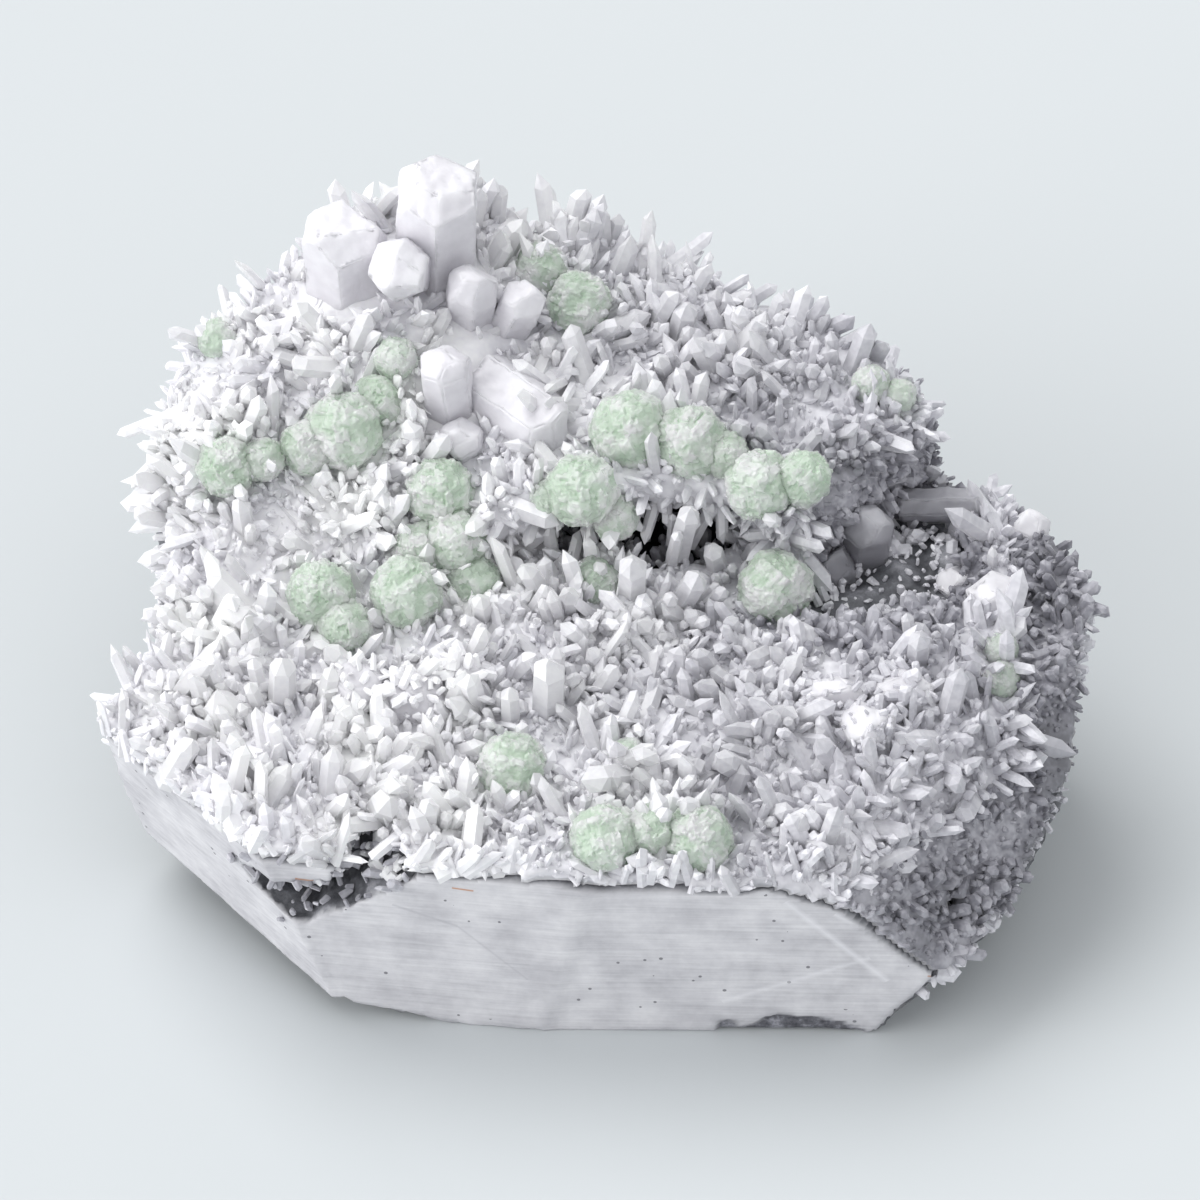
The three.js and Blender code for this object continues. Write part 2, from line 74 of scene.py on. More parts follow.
def spot(x, y, z):
    return (Vector((x, y, z)) + MOVED) * MM


print("the drawing's origin lies at", tuple(spot(0, 0, 0)))

# %% [markdown]
# The photo looks down at 45 degrees from in front, from far away, so that upright edges stay nearly
# parallel. A long lens does the same here. The point in the middle of the picture is the drawing's origin,
# 36.2 mm above the floor.

# %% Camera
LOOK_DOWN = math.radians(45)
DISTANCE = 1.6
middle = spot(0, 0, 36.2)
camera_data = bpy.data.cameras.new("camera")
camera_data.sensor_width = 36
camera_data.lens = 288
camera = bpy.data.objects.new("camera", camera_data)
bpy.context.scene.collection.objects.link(camera)
camera.location = middle + DISTANCE * Vector((0, -math.cos(LOOK_DOWN), math.sin(LOOK_DOWN)))
camera.rotation_euler = (math.pi / 2 - LOOK_DOWN, 0, 0)
bpy.context.scene.camera = camera
print("camera at", tuple(round(v, 3) for v in camera.location))

# %% [markdown]
# Colours are written as sRGB hex values, as a paint card gives them, and turned to the linear values that
# the renderer counts in. One helper adds a node with its settings, values and links, one puts an object
# into the scene, and one counts triangles, because each piece has to stay under 200,000 of them.

# %% Colour and node helpers
def hex_colour(code):
    parts = [int(code[i:i + 2], 16) / 255 for i in (0, 2, 4)]
    linear = [c / 12.92 if c <= 0.04045 else ((c + 0.055) / 1.055) ** 2.4 for c in parts]
    return (*linear, 1.0)


def add(tree, kind, inputs=None, **settings):
    node = tree.nodes.new(kind)
    for key, value in settings.items():
        setattr(node, key, value)
    for key, value in (inputs or {}).items():
        if isinstance(value, bpy.types.NodeSocket):
            tree.links.new(value, node.inputs[key])
        else:
            node.inputs[key].default_value = value
    return node


def start_material(name):
    material = bpy.data.materials.new(name)
    material.use_nodes = True
    tree = material.node_tree
    tree.nodes.clear()
    return material, tree


def ramp_of(tree, factor, stops):
    node = add(tree, "ShaderNodeValToRGB", {"Fac": factor})
    elements = node.color_ramp.elements
    while len(elements) < len(stops):
        elements.new(0.5)
    for element, (place, code) in zip(elements, stops):
        element.position = place
        element.color = hex_colour(code)
    return node.outputs["Color"]


def new_piece(name, data):
    piece = bpy.data.objects.new(name, data)
    bpy.context.scene.collection.objects.link(piece)
    return piece


def triangles_of(mesh):
    return sum(len(p.vertices) - 2 for p in mesh.polygons)


print("helpers ready")

# %% [markdown]
# The studio: a pale, slightly cool floor that goes on behind the specimen, an even soft sky, and two broad
# far lights, which light the floor evenly. One stands high at the left and a little behind, so that the
# shade falls to the right and to the front. The other stands low at the left and brightens the left side.

# %% Floor, sky and lights
floor_mesh = bpy.data.meshes.new("floor")
floor_mesh.from_pydata([(-4, -4, 0), (4, -4, 0), (4, 4, 0), (-4, 4, 0)], [], [(0, 1, 2, 3)])
floor = new_piece("floor", floor_mesh)
floor_paint, tree = start_material("matt_pale_floor")
shader = add(tree, "ShaderNodeBsdfPrincipled", {"Base Color": hex_colour("C7CBCD"), "Roughness": 0.9})
add(tree, "ShaderNodeOutputMaterial", {"Surface": shader.outputs["BSDF"]})
floor_mesh.materials.append(floor_paint)

world = bpy.data.worlds.new("soft_sky")
world.use_nodes = True
world.node_tree.nodes.clear()
sky = add(world.node_tree, "ShaderNodeBackground", {"Color": hex_colour("F6F8FA"), "Strength": 0.88})
add(world.node_tree, "ShaderNodeOutputWorld", {"Surface": sky.outputs["Background"]})
bpy.context.scene.world = world


def far_light(name, way, breadth, strength):
    data = bpy.data.lights.new(name, "SUN")
    data.angle = math.radians(breadth)
    data.energy = strength
    light = new_piece(name, data)
    light.location = middle + Vector(way)
    light.rotation_euler = Vector(way).to_track_quat("Z", "Y").to_euler()


far_light("key_light", (-0.55, 0.6, 1.3), 40, 1.45)
far_light("left_light", (-1.7, -0.6, 0.5), 50, 1.8)
bpy.context.scene.view_settings.view_transform = "Standard"
print("floor, sky and lights set")

# %% [markdown]
# The rock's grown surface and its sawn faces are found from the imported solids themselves. The CAD node is
# left alone: a copy is merged, closed, and remeshed to an even 1 mm, so that noise can roughen it.

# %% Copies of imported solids
def merged_copy(node, name):
    source = frame["nodes"][node]
    mesh = bpy.data.meshes.new(name)
    bm = bmesh.new()
    bm.from_mesh(source.data)
    bm.transform(source.matrix_world)
    bmesh.ops.remove_doubles(bm, verts=bm.verts, dist=1e-6)
    bm.to_mesh(mesh)
    bm.free()
    return new_piece(name, mesh)


def applied(piece):
    """Turns the piece with its modifiers into a plain mesh, and removes the modifiers."""
    graph = bpy.context.evaluated_depsgraph_get()
    mesh = bpy.data.meshes.new_from_object(piece.evaluated_get(graph))
    piece.modifiers.clear()
    old = piece.data
    piece.data = mesh
    bpy.data.meshes.remove(old)
    return piece


def remeshed(piece, size):
    modifier = piece.modifiers.new("even_mesh", "REMESH")
    modifier.mode = "VOXEL"
    modifier.voxel_size = size
    return applied(piece)


def coordinates(mesh):
    flat = np.empty(len(mesh.vertices) * 3, dtype=np.float32)
    mesh.vertices.foreach_get("co", flat)
    return flat.reshape(-1, 3).astype(float)


def directions(mesh):
    flat = np.empty(len(mesh.vertices) * 3, dtype=np.float32)
    mesh.vertices.foreach_get("normal", flat)
    return flat.reshape(-1, 3).astype(float)


def tree_of(piece):
    mesh = piece.data
    return BVHTree.FromPolygons([v.co for v in mesh.vertices], [p.vertices for p in mesh.polygons])


rock = remeshed(merged_copy("matrix_rock", "rock"), 1.05 * MM)
druse_solid = merged_copy("quartz_druse", "druse_solid")
druse_near = tree_of(druse_solid)
rock_near = tree_of(rock)
print("rock:", len(rock.data.vertices), "points")

# %% [markdown]
# Saw marks exist only where a blade passed. Each sawn face is a plane, given by one point and the way it
# faces. Points of the mesh that lie on such a plane are pulled flat onto it and marked as sawn, and
# points that touch the quartz are marked as grown.

# %% Sawn and grown parts of the rock
SAWN_FACES = [
    ((0, -64, 0), (-0.02, -1, -0.07)),
    ((-12, -64, 0), (-0.12, -1, -0.05)),
    ((-51.7, -62.8, 33), (-1, -0.903, -0.342)),
    ((0, 0, 0), (0, 0, -1)),
]


def eased(low, high, values):
    t = np.clip((values - low) / (high - low), 0, 1)
    return t * t * (3 - 2 * t)


points = coordinates(rock.data)
normals = directions(rock.data)
sawn = np.zeros(len(points))
for place, facing in SAWN_FACES:
    facing = np.array(Vector(facing).normalized())
    away = (points - np.array(spot(*place))) @ facing / MM
    share = (1 - eased(0.35, 0.8, np.abs(away))) * eased(0.55, 0.8, normals @ facing)
    points -= facing * (away * share * MM)[:, None]
    sawn = np.maximum(sawn, share)
reach = np.array([druse_near.find_nearest(Vector(p))[3] for p in points]) / MM
grown = (1 - eased(0.7, 1.0, reach)) * (1 - sawn)
print("sawn share", round(float(sawn.mean()), 2), "grown share", round(float(grown.mean()), 2))

# %% [markdown]
# Broken rock has chips with curved faces, a coarse one about every 9 mm, faint layers about 4 mm thick and
# fine grit on top. The chips are cells of a Voronoi pattern, squeezed in height for the layers, and the grit
# is fractal noise. Sawn faces and the surface under the quartz keep their shape, apart from one chipped
# patch at the foot of the sawn front. How far each point stands out or lies back is kept as an attribute,
# because the low places of broken rock are coloured darker: partly dust, partly painted shade. Points
# inside the recess under the ledge are marked as well, for the painted shade there.

# %% Roughen the broken rock
CHIP_SIZE, LAYER_SIZE, GRIT_SIZE = 9 * MM, 4 * MM, 2.6 * MM
CHIP_RELIEF, LAYER_RELIEF, GRIT_RELIEF = 2.4, 1.5, 0.4


def chip_depth(point):
    """How far broken rock stands out at a point, in mm."""
    chips, _ = noise.voronoi(point / CHIP_SIZE)
    layered = Vector((point.x * 0.35, point.y * 0.35, point.z + 0.2 * point.x))
    layers, _ = noise.voronoi(layered / LAYER_SIZE)
    coarse = min(chips[1] - chips[0], 0.6) - 0.35
    thin = min(layers[1] - layers[0], 0.5) - 0.3
    fine = noise.fractal(point / GRIT_SIZE, 0.9, 2.1, 3)
    return CHIP_RELIEF * coarse + LAYER_RELIEF * thin + GRIT_RELIEF * fine


def in_recess(x, y, z, top):
    return -12 < x < 40 and 2 < y < 27 and 38 < z < top


crust_base = [tuple(p) for p in points]
broken = (1 - sawn) * (1 - grown)
x, z = points[:, 0] / MM - MOVED.x, points[:, 2] / MM
ragged = np.array([noise.fractal(Vector(p) / (5 * MM), 0.8, 2.0, 3) for p in points])
along = (x - 31) / 13
in_patch = 1 - eased(0.6, 1.0, along ** 2 + (z / 4.5) ** 2 + 0.5 * ragged)
fractured = (sawn > 0.5) * (points[:, 1] < -0.05) * in_patch
depth = np.array([chip_depth(Vector(p)) if b > 0.02 else 0.0 for p, b in zip(points, broken)])
# Points inside the recess under the ledge are marked, so that the rock there can be painted near black as
# painted shade.
painted_recess_shade = np.array([1.0 if in_recess(*place, 53) else 0.0 for place in points / MM])
points += normals * (depth * broken * MM - (0.15 * grown + 0.6 * fractured) * MM)[:, None]
rock.data.vertices.foreach_set("co", points.astype(np.float32).ravel())
for label, share in (("sawn", sawn), ("fractured", fractured), ("stands_out", depth), ("painted_recess_shade", painted_recess_shade)):
    mark = rock.data.attributes.new(label, "FLOAT", "POINT")
    mark.data.foreach_set("value", share.astype(np.float32))
rock.data.shade_smooth()
rock.data.update()
print("rock roughened")

# %% [markdown]
# The rock is a silica-rich, fine-grained stone. Sawn, it is smooth and lilac grey, with long faint saw
# streaks, cloudy mottling, dark specks, a scratch, a few pale veins and rust in three short cracks.
# Broken, it is rough and darker, most of all in its low places (partly dust, partly painted shade). Inside
# the recess under the ledge it is painted near black: painted shade.
# The streaks are noise that is stretched along X: 0.5 mm apart, and tens of millimetres long.

# %% Rock material
sawn_stone, tree = start_material("sawn_and_broken_silica_rock")
where = add(tree, "ShaderNodeTexCoord").outputs["Object"]
is_sawn = add(tree, "ShaderNodeAttribute", attribute_name="sawn").outputs["Fac"]
along_saw = add(tree, "ShaderNodeMapping", {
    "Vector": where, "Rotation": (0, 0.06, 0), "Scale": (0.035, 0.2, 1)})
streaks = add(tree, "ShaderNodeTexNoise", {
    "Vector": along_saw.outputs["Vector"], "Scale": 1600, "Detail": 3, "Roughness": 0.6})
clouds = add(tree, "ShaderNodeTexNoise", {"Vector": where, "Scale": 110, "Detail": 5, "Roughness": 0.62})
mottle = add(tree, "ShaderNodeMix", {0: 0.68, 2: streaks.outputs["Fac"], 3: clouds.outputs["Fac"]})
sawn_colour = ramp_of(tree, mottle.outputs[0], [(0.34, "B4B3B8"), (0.5, "CBCACE"), (0.64, "DCDBDE")])
grit = add(tree, "ShaderNodeTexNoise", {"Vector": where, "Scale": 420, "Detail": 6, "Roughness": 0.7})
along_layers = add(tree, "ShaderNodeMapping", {
    "Vector": where, "Rotation": (0, -0.2, 0), "Scale": (0.3, 0.3, 1.3)})
layers = add(tree, "ShaderNodeTexNoise", {
    "Vector": along_layers.outputs["Vector"], "Scale": 200, "Detail": 4, "Roughness": 0.65})
in_layers = add(tree, "ShaderNodeMix", {0: 0.35, 2: grit.outputs["Fac"], 3: layers.outputs["Fac"]})
# Low places of broken rock are coloured darker: partly dust, partly painted shade.
stands_out = add(tree, "ShaderNodeAttribute", attribute_name="stands_out").outputs["Fac"]
shown = add(tree, "ShaderNodeMath", {
    0: stands_out, 1: 0.12, 2: in_layers.outputs[0]}, operation="MULTIPLY_ADD")
broken_colour = ramp_of(tree, shown.outputs[0], [(0.3, "3E3F43"), (0.5, "6C6D72"), (0.7, "A8A8AE")])
# Inside the recess under the ledge the broken colour goes to near black: painted shade.
in_painted_recess_shade = add(tree, "ShaderNodeAttribute", attribute_name="painted_recess_shade").outputs["Fac"]
with_painted_recess_shade = add(tree, "ShaderNodeMix", {
    0: in_painted_recess_shade, 6: broken_colour, 7: hex_colour("1E1E21")}, data_type="RGBA")
body = add(tree, "ShaderNodeMix", {0: is_sawn, 6: with_painted_recess_shade.outputs[2], 7: sawn_colour}, data_type="RGBA")
speck = add(tree, "ShaderNodeTexVoronoi", {"Vector": where, "Scale": 330})
speck_on = add(tree, "ShaderNodeMath", {0: speck.outputs["Distance"], 1: 0.11}, operation="LESS_THAN")
few = add(tree, "ShaderNodeTexNoise", {"Vector": where, "Scale": 60, "Detail": 2})
few_on = add(tree, "ShaderNodeMath", {0: few.outputs["Fac"], 1: 0.52}, operation="GREATER_THAN")
specks = add(tree, "ShaderNodeMath", {0: speck_on.outputs[0], 1: few_on.outputs[0]}, operation="MULTIPLY")
specks_soft = add(tree, "ShaderNodeMath", {0: specks.outputs[0], 1: 0.75}, operation="MULTIPLY")
specked = add(tree, "ShaderNodeMix", {
    0: specks_soft.outputs[0], 6: body.outputs[2], 7: hex_colour("56565C")}, data_type="RGBA").outputs[2]


def streak_across(under, ends, breadth, strength, code):
    """Colours a straight mark on the sawn front, between two ends in X and Z, in mm of the drawing."""
    (ax, az), (bx, bz) = ends
    start = spot(ax, -64, az)
    run = Vector((bx - ax, 0, bz - az)) * MM
    side = Vector((run.z, 0, -run.x)).normalized()
    offset = add(tree, "ShaderNodeVectorMath", {0: where, 1: tuple(start)}, operation="SUBTRACT").outputs[0]
    across = add(tree, "ShaderNodeVectorMath", {0: offset, 1: tuple(side)}, operation="DOT_PRODUCT")
    away = add(tree, "ShaderNodeMath", {0: across.outputs["Value"]}, operation="ABSOLUTE")
    near = add(tree, "ShaderNodeMapRange", {
        "Value": away.outputs[0], "From Max": breadth * MM, "To Min": strength, "To Max": 0.0})
    on_run = add(tree, "ShaderNodeVectorMath", {
        0: offset, 1: tuple(run / run.length_squared)}, operation="DOT_PRODUCT")
    from_middle = add(tree, "ShaderNodeMath", {0: on_run.outputs["Value"], 1: 0.5}, operation="SUBTRACT")
    reach = add(tree, "ShaderNodeMath", {0: from_middle.outputs[0]}, operation="ABSOLUTE")
    between = add(tree, "ShaderNodeMath", {0: reach.outputs[0], 1: 0.5}, operation="LESS_THAN")
    both = add(tree, "ShaderNodeMath", {0: near.outputs[0], 1: between.outputs[0]}, operation="MULTIPLY")
    seen = add(tree, "ShaderNodeMath", {0: both.outputs[0], 1: is_sawn}, operation="MULTIPLY")
    marked = add(tree, "ShaderNodeMix", {0: seen.outputs[0], 6: under, 7: hex_colour(code)}, data_type="RGBA")
    return marked.outputs[2]


SAW_MARKS = [
    (((-33.8, 29), (-23.2, 25)), 0.45, 0.5, "A9A8AE"), (((-23.2, 25), (-11.8, 13)), 0.35, 0.4, "A9A8AE"),
    (((30, 34), (47, 14)), 0.9, 0.5, "EDECF0"), (((38, 31), (52, 21)), 0.7, 0.45, "EDECF0"),
    (((20, 8), (44, 20)), 0.8, 0.35, "EDECF0"), (((-24, 34.5), (-20.5, 34.2)), 0.3, 0.9, "B5733A"),
    (((53.5, 15.5), (55.5, 15.2)), 0.3, 0.8, "B5733A"), (((-49.5, 33.4), (-46.5, 33.2)), 0.3, 0.9, "B5733A")]
for ends, breadth, strength, code in SAW_MARKS:
    specked = streak_across(specked, ends, breadth, strength, code)
is_fractured = add(tree, "ShaderNodeAttribute", attribute_name="fractured").outputs["Fac"]
dark_patch = ramp_of(tree, grit.outputs["Fac"], [(0.35, "3C3C42"), (0.5, "63636A"), (0.65, "9A9AA2")])
stone_colour = add(tree, "ShaderNodeMix", {0: is_fractured, 6: specked, 7: dark_patch}, data_type="RGBA")
bump_height = add(tree, "ShaderNodeMix", {0: is_sawn, 2: grit.outputs["Fac"], 3: streaks.outputs["Fac"]})
relief = add(tree, "ShaderNodeMapRange", {"Value": is_sawn, "To Min": 0.0009, "To Max": 0.0002})
bump = add(tree, "ShaderNodeBump", {
    "Height": bump_height.outputs[0], "Strength": 0.35, "Distance": relief.outputs[0]})
shader = add(tree, "ShaderNodeBsdfPrincipled", {
    "Base Color": stone_colour.outputs[2], "Roughness": 0.62, "Normal": bump.outputs["Normal"]})
add(tree, "ShaderNodeOutputMaterial", {"Surface": shader.outputs["BSDF"]})
print(sawn_stone.name, "has", len(tree.nodes), "nodes")

# %% [markdown]
# Each finished piece rides on the specimen's one body, hides the imported solid that it stands for, and takes
# the finish it is given. The rock is the first.

# %% Put the rock in place
def put_in_place(piece, material, slot, *nodes):
    piece.data.materials.clear()
    piece.data.materials.append(material)
    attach(piece, "root")
    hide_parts(*nodes)
    print(piece.name, "has", triangles_of(piece.data), "triangles")


put_in_place(rock, sawn_stone, "rock", "matrix_rock")

# %% [markdown]
# Quartz is clear when it grows slowly and milky when it traps tiny bubbles, as here. It is glass-like,
# with an IOR of 1.54. The points let some light through by plain transmission, over a near-white lilac
# body colour. The colour drifts over about a centimetre, and it goes darker and greyer towards the right:
# partly greyer quartz there and partly painted shade on the side away from the lights. The finest
# points in the shade at the right and in the hollows take a still darker body colour: partly dark rock seen
# through them, partly painted shade. Light that scatters under the skin softens the larger points. The
# finest ones are too thin to need much of it.

# %% Quartz material
def quartz_material(name, left, right, clear, soft):
    """Quartz whose body colour goes from the left ramp to the darker right ramp, partly greyer quartz and
    partly painted shade.
    """
    material, tree = start_material(name)
    where = add(tree, "ShaderNodeTexCoord").outputs["Object"]
    drift = add(tree, "ShaderNodeTexNoise", {"Vector": where, "Scale": 70, "Detail": 1, "Roughness": 0.6})
    grain = add(tree, "ShaderNodeTexNoise", {"Vector": where, "Scale": 800, "Detail": 1, "Roughness": 0.6})
    both = add(tree, "ShaderNodeMix", {0: 0.35, 2: drift.outputs["Fac"], 3: grain.outputs["Fac"]})
    across = add(tree, "ShaderNodeSeparateXYZ", {"Vector": where})
    # Towards the right the ramp goes darker and greyer: partly greyer quartz, partly painted shade on the
    # side away from the lights.
    right_grey_and_shade = add(tree, "ShaderNodeMapRange", {
        "Value": across.outputs["X"], "From Min": -0.03, "From Max": 0.05})
    at_left = ramp_of(tree, both.outputs[0], list(zip((0.34, 0.5, 0.64), left)))
    at_right_grey_and_shaded = ramp_of(tree, both.outputs[0], list(zip((0.34, 0.5, 0.64), right)))
    colour = add(tree, "ShaderNodeMix", {0: right_grey_and_shade.outputs[0], 6: at_left, 7: at_right_grey_and_shaded}, data_type="RGBA")
    shader = add(tree, "ShaderNodeBsdfPrincipled", {
        "Base Color": colour.outputs[2], "Roughness": 0.25, "IOR": 1.54, "Transmission Weight": clear,
        "Subsurface Weight": soft, "Subsurface Radius": (1.0, 1.0, 1.0), "Subsurface Scale": 0.003,
        "Sheen Weight": 0.4, "Sheen Roughness": 0.35})
    add(tree, "ShaderNodeOutputMaterial", {"Surface": shader.outputs["BSDF"]})
    return material


milky_quartz = quartz_material(
    "milky_quartz_points", ("EDECF1", "F8F7FA", "FFFFFF"), ("BFBEC5", "D6D5DB", "EBEAEF"), 0.08, 0.05)
large_quartz = quartz_material(
    "clearer_quartz_points", ("F3F2F6", "FCFBFD", "FFFFFF"), ("CAC9D0", "DEDDE3", "F0EFF3"), 0.25, 0.15)
# This darker quartz, used in the shade at the right, round the bare shelf, in the recess and in the gully, is
# partly dark rock seen through it and partly painted shade.
dark_quartz_with_painted_shade = quartz_material(
    "quartz_over_dark_rock_with_painted_shade", ("9C9BA2", "B5B4BB", "D0CFD6"), ("76767C", "929199", "B8B7BE"), 0.06, 0.0)
print(milky_quartz.name, "ready")

# %% [markdown]
# Everything that grew on the rock starts from the rock's own surface. One function copies those faces of it
# that a rule chooses, and moves them out a little. The crust and the beds of the points are such sheets.

# %% Sheets of the grown surface
def grown_sheet(name, lift, keep, least=0.5):
    """Faces of the rock that keep() chooses and that are grown over by the least share, moved out by lift."""
    number = {}
    places = []
    faces = []
    for polygon in rock.data.polygons:
        corners = list(polygon.vertices)
        if min(grown[i] for i in corners) < least or not keep(polygon):
            continue
        for i in corners:
            if i not in number:
                number[i] = len(places)
                places.append(Vector(crust_base[i]) + Vector(normals[i]) * lift)
        faces.append([number[i] for i in corners])
    mesh = bpy.data.meshes.new(name)
    mesh.from_pydata(places, [], faces)
    mesh.update()
    return new_piece(name, mesh)


print(round(float((grown > 0.5).mean()), 2), "of the rock's points are grown over")

# %% [markdown]
# The growth stayed short in the shade: past the line where the terrace breaks down to the right-hand front
# corner, along the right edge, and round the shelf that stayed bare. The shelf's outline is drawn as seen
# from above, in mm of the drawing, and a point is inside it if a line from it crosses the outline oddly.

# %% Where the growth stayed short
SHELF_EDGE = [
    (25, -14), (34, -21), (47, -21), (60, -15), (66, 2), (62, 18), (50, 22), (42, 14), (34, 4)]


def inside(outline, x, y):
    found = False
    for (ax, ay), (bx, by) in zip(outline, outline[-1:] + outline[:-1]):
        if (ay > y) != (by > y) and x < (bx - ax) * (y - ay) / (by - ay) + ax:
            found = not found
    return found


def past_corner_break(x, y):
    """Distance past the line where the terrace breaks down to the right-hand front corner, in mm."""
    return (x - 42) * 0.717 - (y + 56) * 0.696


def in_the_shade(polygon):
    """The broken corner, the right-hand edge and the shelf's surroundings, where the points stayed short."""
    x, y = polygon.center.x / MM - MOVED.x, polygon.center.y / MM - MOVED.y
    steep = x > 38 and polygon.normal.x > 0.5
    return past_corner_break(x, y) > 4 or steep or x > 68 or inside(SHELF_EDGE, x, y)


print("the shade starts", round(past_corner_break(60, -50), 1), "mm before the front right corner")

# %% [markdown]
# Under the points lies a thin crust of quartz that is too fine to tell apart. It is the rock's own grown
# surface, let out by 2.5 mm and made a little lumpy, so it meets the sawn faces as the thin white band seen
# along the front rim. In the shade the crust takes the darker quartz, partly dark rock seen through it and
# partly painted shade, and it is a piece of its own.

# %% Crust under the points
CRUST_DEPTH = 2.5 * MM
CRUST_LUMPS = 0.6 * MM


def grow_crust(name, keep, finish):
    crust = grown_sheet(name, 0.0001, keep)
    places = coordinates(crust.data)
    outward = directions(crust.data)
    lumps = np.array([noise.fractal(Vector(p) / (3.5 * MM), 0.8, 2.0, 3) for p in places])
    thick = crust.modifiers.new("thickness", "SOLIDIFY")
    thick.thickness = CRUST_DEPTH
    thick.offset = 1
    crust = applied(crust)
    outer = coordinates(crust.data)
    outer[:len(places)] += outward * (lumps * CRUST_LUMPS)[:, None]
    crust.data.vertices.foreach_set("co", outer.astype(np.float32).ravel())
    crust.data.shade_smooth()
    crust.data.update()
    put_in_place(crust, finish, "quartz", "quartz_druse")


grow_crust("quartz_crust", lambda polygon: not in_the_shade(polygon), milky_quartz)
grow_crust("quartz_crust_shade", in_the_shade, dark_quartz_with_painted_shade)

# %% [markdown]
# A quartz point is a six-sided prism that narrows slightly, closed by sloping end faces of unequal size.
# It is made as a plain prism, and each end face is then cut with one plane, as a lapidary would. The parts
# to cut are kept in a list in a fixed order, so that every run gives the same crystal.

# %% Cut one crystal
END_SLOPE = math.radians(52)


def cut_crystal(bm, outline, length, taper, planes):
    """Adds a prism over outline, a little longer than length, and cuts it by planes of point and normal."""
    low = [bm.verts.new((x, y, 0.0)) for x, y in outline]
    high = [bm.verts.new((x * taper, y * taper, length * 1.02)) for x, y in outline]
    count = len(outline)
    new = [bm.faces.new(list(reversed(low))), bm.faces.new(high)]
    for i in range(count):
        j = (i + 1) % count
        new.append(bm.faces.new((low[i], low[j], high[j], high[i])))
    for point, facing in planes:
        parts = list(new)
        for face in new:
            parts += [*face.edges, *face.verts]
        parts = list(dict.fromkeys(parts))
        cut = bmesh.ops.bisect_plane(bm, geom=parts, plane_co=point, plane_no=facing, clear_outer=True)
        edges = [e for e in cut["geom_cut"] if isinstance(e, bmesh.types.BMEdge)]
        new = [f for f in cut["geom"] if isinstance(f, bmesh.types.BMFace) and f.is_valid]
        if len(edges) > 2:
            new += bmesh.ops.contextual_create(bm, geom=edges)["faces"]
    return new


def six_corners(dice, uneven=0.07):
    turned = dice.uniform(0, math.pi / 3)
    corners = []
    for i in range(6):
        angle = turned + i * math.pi / 3
        radius = 0.5 * (1 + dice.uniform(-uneven, uneven))
        corners.append((radius * math.cos(angle), radius * math.sin(angle)))
    return corners, turned


def point_planes(dice, turned, length, thickness):
    """The six end faces of a point, with every second one set further in."""
    planes = []
    for i in range(6):
        angle = turned + math.pi / 6 + i * math.pi / 3
        out = Vector((math.cos(angle), math.sin(angle), 0)) * math.sin(END_SLOPE)
        facing = out + Vector((0, 0, math.cos(END_SLOPE)))
        back = (0.02 if i % 2 else 0.16) * thickness * dice.uniform(0.3, 1.6)
        planes.append((Vector((0, 0, length)) - facing * back * 0.4 + Vector((0, 0, back * 0.2)), facing))
    return planes


def quartz_point(bm, dice, thickness, length, taper):
    corners, turned = six_corners(dice)
    corners = [(x * thickness, y * thickness) for x, y in corners]
    return cut_crystal(bm, corners, length, taper, point_planes(dice, turned, length, thickness))


def small_crystal(name, dice, slender, flat):
    """A unit crystal of 22 triangles: a tapered prism with uneven shoulders and a tip off centre."""
    corners, _ = six_corners(dice, 0.12)
    corners = [(x, y * flat) for x, y in corners]
    taper = dice.uniform(0.8, 0.97)
    tip = Vector((dice.uniform(-0.2, 0.2), dice.uniform(-0.2, 0.2) * flat, 1.0))
    low = [(x, y, -0.1) for x, y in corners]
    high = [(x * taper, y * taper, 1 - slender * dice.uniform(0.5, 1.15)) for x, y in corners]
    faces = [tuple(range(5, -1, -1))]
    for i in range(6):
        j = (i + 1) % 6
        faces += [(i, j, 6 + j, 6 + i), (6 + i, 6 + j, 12)]
    mesh = bpy.data.meshes.new(name)
    mesh.from_pydata(low + high + [tip], [], faces)
    mesh.update()
    return bpy.data.objects.new(name, mesh)


crystals = bpy.data.collections.new("small_points")
for kind, flat in enumerate((0.95, 0.7, 0.55, 1.0, 0.5, 0.85, 0.65)):
    one = small_crystal(f"small_point_{kind}", random.Random(40 + kind), 0.2 + 0.02 * kind, flat)
    crystals.objects.link(one)
print(len(crystals.objects), "small crystals of", triangles_of(one.data), "triangles")

# %% [markdown]
# Where the other crystals stand. The numbers are the drawing's own. A fluorite crystal has the place of its
# centre and its radius. A calcite crystal has the foot of its axis, its width, depth and length, the way it
# points, and its turn. Two outlines, seen from above, bound the druse and the shelf that stayed bare.

